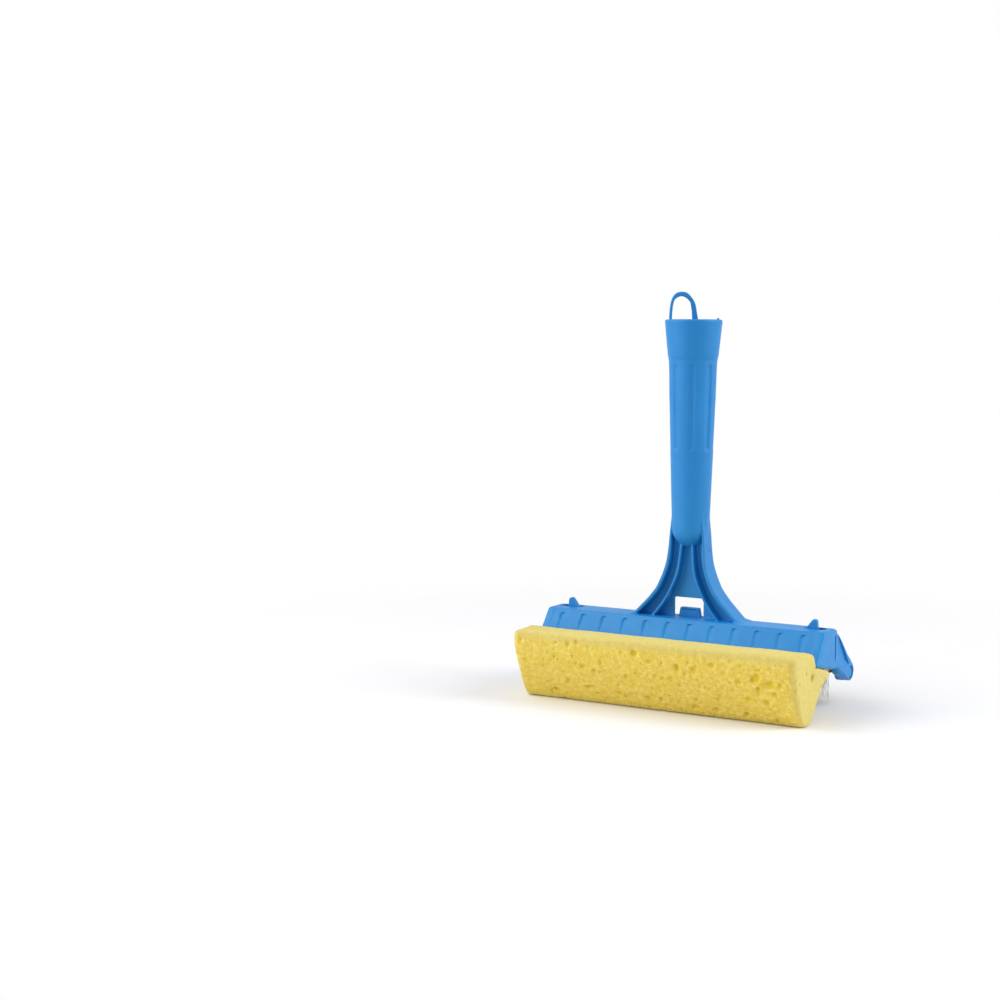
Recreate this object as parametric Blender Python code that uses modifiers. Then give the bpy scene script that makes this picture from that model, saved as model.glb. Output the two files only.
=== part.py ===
"""Window screen brush: a hollow handle on a wide head, with a sponge in front and below,
and a twisted-wire roller brush behind.  X runs along the head, -Y is the sponge side,
+Y is the brush side and +Z runs up the handle.  The brush stands on sponge and bristles.
"""
import bmesh
import bpy
from math import acos, ceil, cos, pi, sin, tau
from mathutils import Matrix, Vector

MM = 0.001

# Gaps and cutters
CLEARANCE = 0.3 * MM        # between two separate pieces that lie against each other
OVERRUN = 2.0 * MM          # how far a cutter or a joined shape runs past a face
SEAM = 0.4 * MM             # how far one joined shape stands proud of its neighbour
MERGE = 0.002 * MM          # points closer than this are one point

# Head: a long channel that is open below
HEAD_LENGTH = 200.0 * MM
WALL = 2.2 * MM
TOP_HEIGHT = 55.0 * MM      # head's top face above the floor
TOP_FRONT = 13.3 * MM       # top face's front edge, ahead of the handle's axis
TOP_REAR = 7.6 * MM         # top face's rear edge, behind the handle's axis
MOUTH_FRONT = 29.5 * MM     # front wall's lower edge, ahead of the axis
MOUTH_FRONT_HEIGHT = 35.4 * MM
MOUTH_REAR = 5.0 * MM       # rear wall's lower edge, behind the axis
MOUTH_REAR_HEIGHT = 28.6 * MM

# End plates, one across each end of the channel
END_THICKNESS = 5.7 * MM
END_CORNER = 3.0 * MM       # radius of the plate's upper corners
ARM_INSET = 5.5 * MM        # upper end of the arm's slanting underside, behind the rear wall's foot
ARM_KNEE = 12.0 * MM        # knee of that underside, behind the rear wall's foot
ARM_DROP = 5.2 * MM         # knee below the rear wall's foot
POCKET_DEPTH = 0.9 * MM     # triangular recess on each plate's outer face
POCKET_RIM = 2.4 * MM
POCKET_FOOT = 3.4 * MM      # pocket's lower edge above the rear wall's foot
POCKET_WIDTH = 3.2 * MM     # along the top, ahead of the top's rear edge

# Roller brush and its bearings
BRISTLE_REACH = 21.6 * MM   # from the brush's axis to the bristle tips
BRUSH_REAR = 36.6 * MM      # brush axis behind the handle's axis
BRISTLE_MARGIN = 3.0 * MM   # bare stem beside each ferrule
TWIST_PITCH = 14.0 * MM
TUFTS_PER_TURN = 16
STRAND_FILL_SHARE = 0.6     # strand width as a share of the strand spacing
WIRE_RADIUS = 0.9 * MM
CORE_THICKNESS = 0.6 * MM   # filaments pressed flat between the two wires
CORE_HALF_WIDTH = 1.9 * MM
WIRE_POINTS_PER_TURN = 8
BOSS_RADIUS = 6.5 * MM
BOSS_LENGTH = 4.1 * MM
FERRULE_LENGTH = 5.1 * MM
FERRULE_CHAMFER = 0.5 * MM
WIRE_ENGAGEMENT = 3.0 * MM  # wire's length inside the ferrule
JOURNAL_RADIUS = 2.3 * MM
JOURNAL_LENGTH = 2.8 * MM

# Handle: a turned tapering socket with a collar
NECK_HEIGHT = 59.2 * MM     # from the head's top to the centre of the handle's rounded lower end
HANDLE_LENGTH = 138.0 * MM  # from there to the rim
RIM_RADIUS = 18.6 * MM
RIM_FILLET = 0.9 * MM
COLLAR_LENGTH = 25.2 * MM
COLLAR_FOOT_RADIUS = 16.4 * MM
COLLAR_STEP = 0.5 * MM
WAIST_DROP = 26.8 * MM      # grip's waist below the collar's foot
GRIP_WAIST_RADIUS = 15.35 * MM
NOSE_RADIUS = 12.3 * MM
HANDLE_WALL = 2.2 * MM
FLUTE_COUNT = 8
FLUTE_DROP = 4.0 * MM       # flutes' upper ends below the collar's foot
FLUTE_LENGTH = 56.8 * MM
FLUTE_WIDTH = 4.4 * MM
FLUTE_DEPTH = 0.6 * MM
NUB_WIDTH = 2.0 * MM        # moulding nub on the rim's right-hand side
NUB_HEIGHT = 0.9 * MM

# Neck between handle and head
NECK_TOP_DROP = 3.7 * MM    # flanges run along the handle above this, below the nose's centre
NECK_TAIL_RISE = 16.8 * MM  # flanges have sunk into the handle this far above the nose's centre
NECK_TAIL_SINK = 2.7 * MM   # their outer side there, inside the handle's
NECK_TOP_PROUD = 0.1 * MM   # their outer side at the top of the flare, outside the nose's
NECK_BASE_SPREAD = 38.1 * MM
FLANGE_THICKNESS = 2.6 * MM
FLANGE_DEPTH = 13.3 * MM
RIB_TOP_DROP = 9.7 * MM     # inner ribs end inside the rounded nose, below its centre
RIB_TOP_SPREAD = 3.8 * MM
RIB_BASE_SPREAD = 23.3 * MM
RIB_THICKNESS = 1.9 * MM
RIB_DEPTH = 12.4 * MM
WEB_THICKNESS = 2.0 * MM
WINDOW_HALF_WIDTH = 10.5 * MM
WINDOW_HEIGHT = 12.9 * MM
NECK_STEPS = 5              # straight pieces between two of the curve's points
# (share of the height, share of the spread) from the foot of each curve upwards
FLANGE_SHARES = ((0.0, 1.0), (0.17, 0.648), (0.28, 0.444), (0.41, 0.262), (0.665, 0.072), (1.0, 0.0))
RIB_SHARES = ((0.0, 1.0), (0.2, 0.636), (0.42, 0.313), (0.65, 0.097), (1.0, 0.0))

# Shallow grooves in the front wall, and the sunken panel on the rear wall
GROOVE_PITCH = 15.7 * MM
GROOVE_WIDTH = 5.2 * MM
GROOVE_DEPTH = 0.5 * MM
GROOVE_MARGIN = 3.0 * MM    # from the wall's top edge
PANEL_END_MARGIN = 21.0 * MM
PANEL_TOP_MARGIN = 8.0 * MM
PANEL_BOTTOM_MARGIN = 2.4 * MM
PANEL_DEPTH = 0.4 * MM

# Sponge carrier: a plate that closes the channel, two snap pegs and a middle tongue
CARRIER_THICKNESS = 2.0 * MM
PEG_END_MARGIN = 10.0 * MM  # peg's outer side from the head's end
PEG_WIDTH = 9.0 * MM
PEG_DEPTH = 3.2 * MM
PEG_FRONT = 0.8 * MM        # peg's mid-plane ahead of the handle's axis
PEG_HEIGHT = 5.7 * MM       # above the head's top face
PEG_TIP_INNER_LEAN = 3.8 * MM
PEG_TIP_OUTER_LEAN = 1.0 * MM
SLOT_END_MARGIN = 0.5 * MM  # the slot leaves the peg room to spring outwards
TONGUE_HALF_WIDTH = 7.9 * MM
TONGUE_TIP_LEAN = 1.2 * MM
TONGUE_HEIGHT = 6.0 * MM
TONGUE_THICKNESS = 2.0 * MM

# Sponge, seen in section from the end
SPONGE_INSET = 2.5 * MM     # from the head's ends
SPONGE_FRONT = 65.5 * MM    # ahead of the handle's axis
SPONGE_TOP = 47.1 * MM
SPONGE_EDGE = 1.4 * MM
LOBE_INSET = 2.0 * MM       # sponge's rear edge ahead of the rear wall's foot
LOBE_THICKNESS = 3.2 * MM
SHOULDER_GAP = 2.3 * MM     # sponge's face that runs up in front of the front wall, from the wall's foot
# (share of the front reach, share of the height), from the top front corner down and back
SPONGE_SHARES = ((1.0, 1.0), (0.998, 0.77), (0.951, 0.546), (0.844, 0.306), (0.739, 0.105),
                 (0.662, 0.0), (0.55, 0.0), (0.301, 0.297), (0.223, 0.442))
LOBE_SHARE = 0.02           # of the front reach, where the lobe's underside ends
SHOULDER_TOP_SHARE = 0.685  # of the rise from the shoulder's foot to the sponge's top
TOP_BACK_SHARE = 0.684

# Hanging plug in the handle's mouth
PLUG_DROP = 1.2 * MM        # disc's top below the rim
PLUG_DISC = 2.4 * MM
PLUG_SKIRT = 12.0 * MM
PLUG_WALL = 1.8 * MM
LOOP_DEPTH = 3.6 * MM
LOOP_YAW_SHARE = 0.0842     # of a full turn, from the head's direction
LOOP_SPREAD = 18.6 * MM
LOOP_HEIGHT = 17.6 * MM
LOOP_INSET = 0.7 * MM       # left leg's outer side from the disc's edge
# (share of the spread, share of the height) from the left foot over the top to the right
LOOP_OUTER_SHARES = ((0.0, 0.0), (0.016, 0.34), (0.05, 0.61), (0.113, 0.8), (0.24, 0.945), (0.433, 1.0),
                     (0.62, 0.955), (0.78, 0.78), (0.892, 0.58), (0.944, 0.31), (1.0, 0.0))
LOOP_INNER_SHARES = ((0.075, 0.0), (0.1, 0.41), (0.17, 0.68), (0.293, 0.8), (0.446, 0.835),
                     (0.6, 0.765), (0.725, 0.62), (0.764, 0.47), (0.803, 0.26), (0.824, 0.0))

# Fineness of round shapes
ROUND_STEPS = 48
SMALL_ROUND_STEPS = 24
NOSE_STEPS = 8
CORNER_STEPS = 3

# Colours, roughness and metallic value of each material
MOULDED_BLUE = ((0.035, 0.235, 0.62, 1.0), 0.42, 0.0)
FOAM_YELLOW = ((0.86, 0.66, 0.13, 1.0), 0.95, 0.0)
FILAMENT_CREAM = ((0.78, 0.75, 0.62, 1.0), 0.55, 0.0)
GALVANISED_WIRE = ((0.22, 0.21, 0.18, 1.0), 0.45, 0.9)

BRUSH_HEIGHT = BRISTLE_REACH
HALF_LENGTH = HEAD_LENGTH / 2
INNER_HALF = HALF_LENGTH - END_THICKNESS
FERRULE_OUTER = HALF_LENGTH - BOSS_LENGTH - CLEARANCE
FERRULE_INNER = FERRULE_OUTER - FERRULE_LENGTH
NOSE_HEIGHT = TOP_HEIGHT + NECK_HEIGHT
RIM_HEIGHT = NOSE_HEIGHT + HANDLE_LENGTH
COLLAR_FOOT = RIM_HEIGHT - COLLAR_LENGTH
GRIP_WAIST = COLLAR_FOOT - WAIST_DROP
GROOVE_COUNT = int(2 * INNER_HALF / GROOVE_PITCH)
PEG_OUTER = HALF_LENGTH - PEG_END_MARGIN
PEG_INNER = PEG_OUTER - PEG_WIDTH
WIRE_BOW = WIRE_RADIUS * (1 - cos(pi / WIRE_POINTS_PER_TURN))     # straight pieces cut the bends
WIRE_OFFSET = WIRE_RADIUS + CORE_THICKNESS / 2 + CLEARANCE + WIRE_BOW
# The origin is on the floor, midway between sponge front and bristle tips
AXIS_REAR_OF_ORIGIN = (SPONGE_FRONT - BRUSH_REAR - BRISTLE_REACH) / 2


# Plane geometry

def meet(start, along, other, other_along):
    """Where two lines, each a point and a direction, cross."""
    turn = along.x * other_along.y - along.y * other_along.x
    gap = other - start
    return start + along * ((gap.x * other_along.y - gap.y * other_along.x) / turn)


def beside(points, distance):
    """An open outline moved to its right-hand side by a distance, with sharp corners."""
    ways = [(b - a).normalized() for a, b in zip(points, points[1:])]
    sides = [Vector((way.y, -way.x)) * distance for way in ways]
    moved = [points[0] + sides[0]]
    for index in range(1, len(ways)):
        moved.append(meet(points[index] + sides[index - 1], ways[index - 1],
                          points[index] + sides[index], ways[index]))
    moved.append(points[-1] + sides[-1])
    return moved


def clipped(points, start, along):
    """An open outline whose two ends are moved along their runs to a line."""
    first = meet(points[0], points[1] - points[0], start, along)
    last = meet(points[-1], points[-2] - points[-1], start, along)
    return [first] + points[1:-1] + [last]


def arc(centre, radius, start, end, steps):
    """Points on a circle from one angle to another."""
    return [centre + Vector((cos(start + (end - start) * i / steps), sin(start + (end - start) * i / steps)))
            * radius for i in range(steps + 1)]


def tangent_angle(point, centre, radius, side):
    """Angle on a circle where the tangent from a point touches it."""
    away = point - centre
    return away.angle_signed(Vector((1, 0))) + side * acos(radius / away.length)


def rounded_corner(before, corner, after, radius, steps=CORNER_STEPS):
    """Points that round one corner of an outline."""
    back = (before - corner).normalized()
    on = (after - corner).normalized()
    half = back.angle(on) / 2
    reach = radius * cos(half) / sin(half)
    centre = corner + (back + on).normalized() * (radius / sin(half))
    first = corner + back * reach - centre
    sweep = (corner + on * reach - centre).angle_signed(first)
    turned = []
    for i in range(steps + 1):
        angle = sweep * i / steps
        turned.append(centre + Vector((first.x * cos(angle) - first.y * sin(angle),
                                       first.x * sin(angle) + first.y * cos(angle))))
    return turned


def smooth_run(points, steps):
    """A smooth curve through points, as short straight pieces."""
    run = []
    for i in range(len(points) - 1):
        before = points[max(i - 1, 0)]
        a, b = points[i], points[i + 1]
        after = points[min(i + 2, len(points) - 1)]
        for step in range(steps):
            t = step / steps
            run.append(0.5 * (2 * a + (b - before) * t + (2 * before - 5 * a + 4 * b - after) * t ** 2
                              + (3 * a - before - 3 * b + after) * t ** 3))
    run.append(points[-1])
    return run


# Blender helpers

for old in list(bpy.data.objects):
    bpy.data.objects.remove(old)

pieces = bpy.data.collections.new("window_screen_brush")
shapers = bpy.data.collections.new("shaping_tools")
bpy.context.scene.collection.children.link(pieces)
bpy.context.scene.collection.children.link(shapers)
handle_axis = bpy.data.objects.new("handle_axis", None)
handle_axis.location = (0, AXIS_REAR_OF_ORIGIN, 0)
pieces.objects.link(handle_axis)

ACROSS = Matrix(((0, 0, 1), (1, 0, 0), (0, 1, 0))).to_4x4()     # outline in YZ, thickness along X
FACING = Matrix(((1, 0, 0), (0, 0, -1), (0, 1, 0))).to_4x4()    # outline in XZ, thickness along Y


def material(name, finish):
    """A plain coloured surface."""
    colour, roughness, metallic = finish
    surface = bpy.data.materials.new(name)
    surface.use_nodes = True
    shader = surface.node_tree.nodes["Principled BSDF"]
    shader.inputs["Base Color"].default_value = colour
    shader.inputs["Roughness"].default_value = roughness
    shader.inputs["Metallic"].default_value = metallic
    return surface


blue_plastic = material("moulded_blue_plastic", MOULDED_BLUE)
foam = material("yellow_foam", FOAM_YELLOW)
filament = material("cream_filament", FILAMENT_CREAM)
wire_steel = material("galvanised_wire", GALVANISED_WIRE)


def tool(name, mesh, place=Matrix.Identity(4)):
    """A hidden shape that is joined to a piece or cut from it."""
    shape = bpy.data.objects.new(name, mesh)
    shapers.objects.link(shape)
    shape.parent = handle_axis
    shape.matrix_local = place
    shape.display_type = "WIRE"
    shape.hide_render = True
    return shape


def piece(name, mesh, surface, place=Matrix.Identity(4)):
    """One named physical piece."""
    shape = bpy.data.objects.new(name, mesh)
    pieces.objects.link(shape)
    shape.parent = handle_axis
    shape.matrix_local = place
    mesh.materials.clear()
    mesh.materials.append(surface)
    return shape


def shade(mesh):
    """Round faces shaded smooth, with edges over a quarter of a right angle kept sharp."""
    mesh.shade_smooth()
    mesh.set_sharp_from_angle(angle=pi / 8)
    return mesh


def welded(mesh):
    """The mesh with its loose caps joined and its faces pointing out."""
    work = bmesh.new()
    work.from_mesh(mesh)
    bmesh.ops.remove_doubles(work, verts=work.verts, dist=MERGE)
    bmesh.ops.recalc_face_normals(work, faces=work.faces)
    work.to_mesh(mesh)
    work.free()
    return mesh


def mesh_of(shape):
    """The evaluated mesh of an object, which is then removed."""
    bpy.context.view_layer.update()
    graph = bpy.context.evaluated_depsgraph_get()
    mesh = bpy.data.meshes.new_from_object(shape.evaluated_get(graph))
    bpy.data.objects.remove(shape)
    return mesh


def flat_mesh(name, points, thickness):
    """A closed outline given a thickness either side of its plane."""
    curve = bpy.data.curves.new(name, "CURVE")
    curve.dimensions = "2D"
    curve.fill_mode = "BOTH"
    curve.extrude = thickness / 2
    spline = curve.splines.new("POLY")
    spline.points.add(len(points) - 1)
    for knot, (u, v) in zip(spline.points, points):
        knot.co = (u, v, 0, 1)
    spline.use_cyclic_u = True
    shape = bpy.data.objects.new(name, curve)
    shapers.objects.link(shape)
    return welded(mesh_of(shape))


def turned_mesh(name, profile, steps):
    """A profile of (radius, height), from the top down its outer side, turned about Z."""
    line = bpy.data.meshes.new(name)
    line.from_pydata([(radius, 0, height) for radius, height in profile],
                     [(i, i + 1) for i in range(len(profile) - 1)], [])
    shape = bpy.data.objects.new(name, line)
    shapers.objects.link(shape)
    turn = shape.modifiers.new("turn", "SCREW")
    turn.steps = turn.render_steps = steps
    turn.use_merge_vertices = True
    turn.merge_threshold = MERGE
    return welded(mesh_of(shape))


def tube_mesh(name, points, radius):
    """A round wire through points, with closed ends."""
    curve = bpy.data.curves.new(name, "CURVE")
    curve.dimensions = "3D"
    curve.bevel_depth = radius
    curve.bevel_resolution = 1
    curve.use_fill_caps = True
    spline = curve.splines.new("POLY")
    spline.points.add(len(points) - 1)
    for knot, place in zip(spline.points, points):
        knot.co = (*place, 1)
    shape = bpy.data.objects.new(name, curve)
    shapers.objects.link(shape)
    return welded(mesh_of(shape))


def box_mesh(name, low, high):
    """A box between two corners."""
    low, high = Vector(low), Vector(high)
    work = bmesh.new()
    bmesh.ops.create_cube(work, size=1)
    size = high - low
    bmesh.ops.scale(work, verts=work.verts, vec=size)
    bmesh.ops.translate(work, verts=work.verts, vec=(low + high) / 2)
    mesh = bpy.data.meshes.new(name)
    work.to_mesh(mesh)
    work.free()
    return mesh


def rod_mesh(name, radius, length, steps=SMALL_ROUND_STEPS):
    """A plain cylinder about Z, centred on the origin."""
    work = bmesh.new()
    bmesh.ops.create_cone(work, cap_ends=True, segments=steps, radius1=radius, radius2=radius, depth=length)
    mesh = bpy.data.meshes.new(name)
    work.to_mesh(mesh)
    work.free()
    return mesh


def shaped(target, tools, operation):
    """Joins tools to a piece, or cuts them from it."""
    for shape in tools:
        step = target.modifiers.new(shape.name, "BOOLEAN")
        step.operation = operation
        step.solver = "EXACT"
        step.object = shape


# Head section, in the YZ plane

FRONT_FOOT = Vector((-MOUTH_FRONT, MOUTH_FRONT_HEIGHT))
FRONT_TOP = Vector((-TOP_FRONT, TOP_HEIGHT))
REAR_TOP = Vector((TOP_REAR, TOP_HEIGHT))
REAR_FOOT = Vector((MOUTH_REAR, MOUTH_REAR_HEIGHT))
MOUTH_WAY = (REAR_FOOT - FRONT_FOOT).normalized()
MOUTH_NORMAL = Vector((-MOUTH_WAY.y, MOUTH_WAY.x))      # points up into the channel
CHANNEL = [FRONT_FOOT, FRONT_TOP, REAR_TOP, REAR_FOOT]
BRUSH_CENTRE = Vector((BRUSH_REAR, BRUSH_HEIGHT))


def channel_outline():
    """Front wall, top and rear wall of the head, as one bent strip."""
    inner = clipped(beside(CHANNEL, WALL), FRONT_FOOT, MOUTH_WAY)
    return CHANNEL + inner[::-1]


def end_outline():
    """End plate with its bearing arm, whose underside slants down to the boss."""
    outer = beside(CHANNEL, -SEAM)
    front_foot, front_top, rear_top = outer[0], outer[1], outer[2]
    high = tangent_angle(rear_top, BRUSH_CENTRE, BOSS_RADIUS, -1)
    knee = REAR_FOOT + Vector((ARM_KNEE, -ARM_DROP))
    low = tangent_angle(knee, BRUSH_CENTRE, BOSS_RADIUS, 1)
    boss_top = BRUSH_CENTRE + Vector((cos(high), sin(high))) * BOSS_RADIUS
    points = [front_foot]
    points += rounded_corner(front_foot, front_top, rear_top, END_CORNER)
    points += rounded_corner(front_top, rear_top, boss_top, END_CORNER)
    points += arc(BRUSH_CENTRE, BOSS_RADIUS, high, low - tau if low > high else low, SMALL_ROUND_STEPS // 2)
    foot = FRONT_FOOT - MOUTH_NORMAL * SEAM
    heel = meet(foot, MOUTH_WAY, Vector((REAR_FOOT.x - WALL, 0)), Vector((0, 1)))
    return points + [knee, REAR_FOOT + Vector((ARM_INSET, 0)), heel, foot]


def pocket_outline():
    """Triangular recess inside the plate's slanting rim."""
    front = TOP_REAR - POCKET_WIDTH
    top = Vector((front, TOP_HEIGHT - POCKET_RIM))
    way = (BRUSH_CENTRE - REAR_TOP).normalized()
    side = Vector((way.y, -way.x))
    rim_start = REAR_TOP + side * (POCKET_RIM - BOSS_RADIUS / 2)
    upper = meet(top, Vector((1, 0)), rim_start, way)
    bottom = Vector((front, REAR_FOOT.y + POCKET_FOOT))
    reach = meet(rim_start, way, bottom, Vector((1, 0)))
    return [bottom, top, upper, reach]


def spread_curve(shares, base_height, top_height, base_spread, top_spread):
    """A neck curve from its shares, as (spread, height) points from the foot up."""
    points = [Vector((top_spread + (base_spread - top_spread) * spread,
                      base_height + (top_height - base_height) * height)) for height, spread in shares]
    return smooth_run(points, NECK_STEPS)


def strip_outline(curve, thickness):
    """A bent strip of even thickness with a curve as its outer side."""
    return curve + beside(curve, -thickness)[::-1]


def mirrored(outline):
    """The outline on the other side of the handle."""
    return [Vector((-u, v)) for u, v in outline]


# Handle and head, one moulding

def grip_radius(height):
    """Outer radius of the grip below the collar."""
    if height > GRIP_WAIST:
        share = (height - GRIP_WAIST) / WAIST_DROP
        return GRIP_WAIST_RADIUS + (COLLAR_FOOT_RADIUS - COLLAR_STEP - GRIP_WAIST_RADIUS) * share
    share = (height - NOSE_HEIGHT) / (GRIP_WAIST - NOSE_HEIGHT)
    return NOSE_RADIUS + (GRIP_WAIST_RADIUS - NOSE_RADIUS) * share


def handle_profile():
    """Outer side of the handle, from the rim down to the tip of the nose."""
    profile = [(0, RIM_HEIGHT), (RIM_RADIUS - RIM_FILLET, RIM_HEIGHT), (RIM_RADIUS, RIM_HEIGHT - RIM_FILLET),
               (COLLAR_FOOT_RADIUS, COLLAR_FOOT),
               (COLLAR_FOOT_RADIUS - COLLAR_STEP, COLLAR_FOOT - COLLAR_STEP),
               (GRIP_WAIST_RADIUS, GRIP_WAIST)]
    for i in range(NOSE_STEPS):
        angle = pi / 2 * i / NOSE_STEPS
        profile.append((NOSE_RADIUS * cos(angle), NOSE_HEIGHT - NOSE_RADIUS * sin(angle)))
    profile.append((0, NOSE_HEIGHT - NOSE_RADIUS))
    return profile


def bore_radius(height):
    """Radius of the pole socket in the collar, which widens as its outside does."""
    foot = COLLAR_FOOT_RADIUS - COLLAR_STEP - HANDLE_WALL
    top = RIM_RADIUS - HANDLE_WALL
    return foot + (top - foot) * (height - COLLAR_FOOT) / COLLAR_LENGTH


def bore_profile():
    """The pole socket, open at the rim, with an even wall round it."""
    above = RIM_HEIGHT + OVERRUN
    return [(0, above), (bore_radius(above), above), (bore_radius(COLLAR_FOOT), COLLAR_FOOT),
            (GRIP_WAIST_RADIUS - HANDLE_WALL, GRIP_WAIST), (NOSE_RADIUS - HANDLE_WALL, NOSE_HEIGHT),
            (0, NOSE_HEIGHT)]


def flute_tools():
    """Long shallow flutes with round ends, leaning with the grip's taper."""
    radius = (FLUTE_WIDTH ** 2 / 4 + FLUTE_DEPTH ** 2) / (2 * FLUTE_DEPTH)
    # Each end is part of a sphere, which fades out over half the flute's width
    high = COLLAR_FOOT - FLUTE_DROP - FLUTE_WIDTH / 2
    low = high - FLUTE_LENGTH + FLUTE_WIDTH
    foot = Vector((grip_radius(low) + radius - FLUTE_DEPTH, 0, low))
    head = Vector((grip_radius(high) + radius - FLUTE_DEPTH, 0, high))
    length = (head - foot).length
    profile = []
    half_steps = SMALL_ROUND_STEPS // 4
    for i in range(half_steps + 1):
        angle = pi / 2 * (1 - i / half_steps)
        profile.append((radius * cos(angle) if i else 0, length / 2 + radius * sin(angle)))
    profile += [(u, -v) for u, v in profile[::-1]]
    lean = Vector((0, 0, 1)).rotation_difference(head - foot).to_matrix().to_4x4()
    tools = []
    for index in range(FLUTE_COUNT):
        mesh = turned_mesh(f"flute_{index}", profile, SMALL_ROUND_STEPS)
        turn = Matrix.Rotation(tau * (index + 0.5) / FLUTE_COUNT, 4, "Z")
        tools.append(tool(f"flute_{index}", mesh, turn @ Matrix.Translation((foot + head) / 2) @ lean))
    return tools


def neck_tools():
    """Outer flanges, inner ribs and the web with its window."""
    base = TOP_HEIGHT - WALL / 2
    tail = NOSE_HEIGHT + NECK_TAIL_RISE
    flange = spread_curve(FLANGE_SHARES, base, NOSE_HEIGHT - NECK_TOP_DROP, NECK_BASE_SPREAD,
                          NOSE_RADIUS + NECK_TOP_PROUD)
    flange.append(Vector((grip_radius(tail) - NECK_TAIL_SINK, tail)))
    rib = spread_curve(RIB_SHARES, base, NOSE_HEIGHT - RIB_TOP_DROP, RIB_BASE_SPREAD, RIB_TOP_SPREAD)
    tools = []
    for side in ("right", "left"):
        flip = mirrored if side == "left" else list
        outer = flip(strip_outline(flange, FLANGE_THICKNESS))
        inner = flip(strip_outline(beside(rib, RIB_THICKNESS / 2), RIB_THICKNESS))
        tools.append(tool(f"neck_flange_{side}", flat_mesh("flange", outer, FLANGE_DEPTH), FACING))
        tools.append(tool(f"neck_rib_{side}", flat_mesh("rib", inner, RIB_DEPTH), FACING))
    edge = beside(flange[:-1], -FLANGE_THICKNESS / 2)
    window_top = TOP_HEIGHT + WINDOW_HEIGHT
    notch = [Vector((WINDOW_HALF_WIDTH, base)), Vector((WINDOW_HALF_WIDTH, window_top))]
    web = edge + mirrored(edge)[::-1] + mirrored(notch) + notch[::-1]
    tools.append(tool("neck_web", flat_mesh("web", web, WEB_THICKNESS), FACING))
    return tools


def groove_tools():
    """Shallow grooves down the front wall, with rounded upper ends."""
    way = (FRONT_TOP - FRONT_FOOT).normalized()
    out = Vector((-way.y, way.x))
    length = (FRONT_TOP - FRONT_FOOT).length - GROOVE_MARGIN
    half = GROOVE_WIDTH / 2
    outline = [Vector((half, -OVERRUN)), Vector((half, length - half))]
    outline += arc(Vector((0, length - half)), half, 0, pi, SMALL_ROUND_STEPS // 3)[1:-1]
    outline += [Vector((-half, length - half)), Vector((-half, -OVERRUN))]
    # Local X along the head, local Y up the wall, local Z out of it
    frame = Matrix(((1, 0, 0), (0, way.x, out.x), (0, way.y, out.y))).to_4x4()
    tools = []
    for index in range(GROOVE_COUNT):
        along = (index - (GROOVE_COUNT - 1) / 2) * GROOVE_PITCH
        mesh = flat_mesh(f"groove_{index}", outline, 2 * GROOVE_DEPTH)
        place = Matrix.Translation((along, FRONT_FOOT.x, FRONT_FOOT.y)) @ frame
        tools.append(tool(f"groove_{index}", mesh, place))
    return tools


def end_tools(side):
    """One end plate, and what is cut from it."""
    plate = flat_mesh("end_plate", end_outline(), HALF_LENGTH - INNER_HALF)
    place = Matrix.Translation((side * (INNER_HALF + HALF_LENGTH) / 2, 0, 0)) @ ACROSS
    joined, cuts = [tool(f"end_plate_{side}", plate, place)], []
    pocket = flat_mesh("end_pocket", pocket_outline(), 2 * POCKET_DEPTH)
    cuts.append(tool(f"end_pocket_{side}", pocket, Matrix.Translation((side * HALF_LENGTH, 0, 0)) @ ACROSS))
    turn = Matrix.Rotation(pi / 2, 4, "Y")
    seat_outer = HALF_LENGTH - BOSS_LENGTH
    seat_inner = INNER_HALF - OVERRUN
    seat = rod_mesh("ferrule_seat", BOSS_RADIUS + CLEARANCE, seat_outer - seat_inner, ROUND_STEPS)
    middle = Matrix.Translation((side * (seat_outer + seat_inner) / 2, BRUSH_REAR, BRUSH_HEIGHT))
    cuts.append(tool(f"ferrule_seat_{side}", seat, middle @ turn))
    bore = rod_mesh("journal_bore", JOURNAL_RADIUS + CLEARANCE, 2 * BOSS_LENGTH + OVERRUN)
    middle = Matrix.Translation((side * HALF_LENGTH, BRUSH_REAR, BRUSH_HEIGHT))
    cuts.append(tool(f"journal_bore_{side}", bore, middle @ turn))
    return joined, cuts


def tongue_middle():
    """The tongue's mid-plane, so that it clears the rear wall's inner side down to its foot."""
    inner_foot = clipped(beside(CHANNEL, WALL), FRONT_FOOT, MOUTH_WAY)[-1]
    return inner_foot.x - CLEARANCE - TONGUE_THICKNESS / 2


def slot_tools():
    """Slots in the head's top for the carrier's two pegs and its tongue."""
    low, high = TOP_HEIGHT - WALL - OVERRUN, TOP_HEIGHT + OVERRUN
    tools = []
    front = -PEG_FRONT - PEG_DEPTH / 2 - CLEARANCE
    rear = -PEG_FRONT + PEG_DEPTH / 2 + CLEARANCE
    for side in (-1, 1):
        left, right = sorted((side * (PEG_INNER - CLEARANCE), side * (INNER_HALF - SLOT_END_MARGIN)))
        tools.append(tool(f"peg_slot_{side}", box_mesh("peg_slot", (left, front, low), (right, rear, high))))
    half = TONGUE_HALF_WIDTH + CLEARANCE
    middle = tongue_middle()
    front = middle - TONGUE_THICKNESS / 2 - CLEARANCE
    rear = middle + TONGUE_THICKNESS / 2 + CLEARANCE
    tools.append(tool("tongue_slot", box_mesh("tongue_slot", (-half, front, low), (half, rear, high))))
    return tools


def panel_tool():
    """Sunken panel on the rear wall."""
    way = (REAR_TOP - REAR_FOOT).normalized()
    out = Vector((way.y, -way.x))
    low = REAR_FOOT + way * PANEL_BOTTOM_MARGIN
    high = REAR_TOP - way * PANEL_TOP_MARGIN
    outline = [low - out * PANEL_DEPTH, high - out * PANEL_DEPTH, high + out * OVERRUN, low + out * OVERRUN]
    length = HEAD_LENGTH - 2 * PANEL_END_MARGIN
    return tool("rear_panel", flat_mesh("rear_panel", outline, length), ACROSS)


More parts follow.
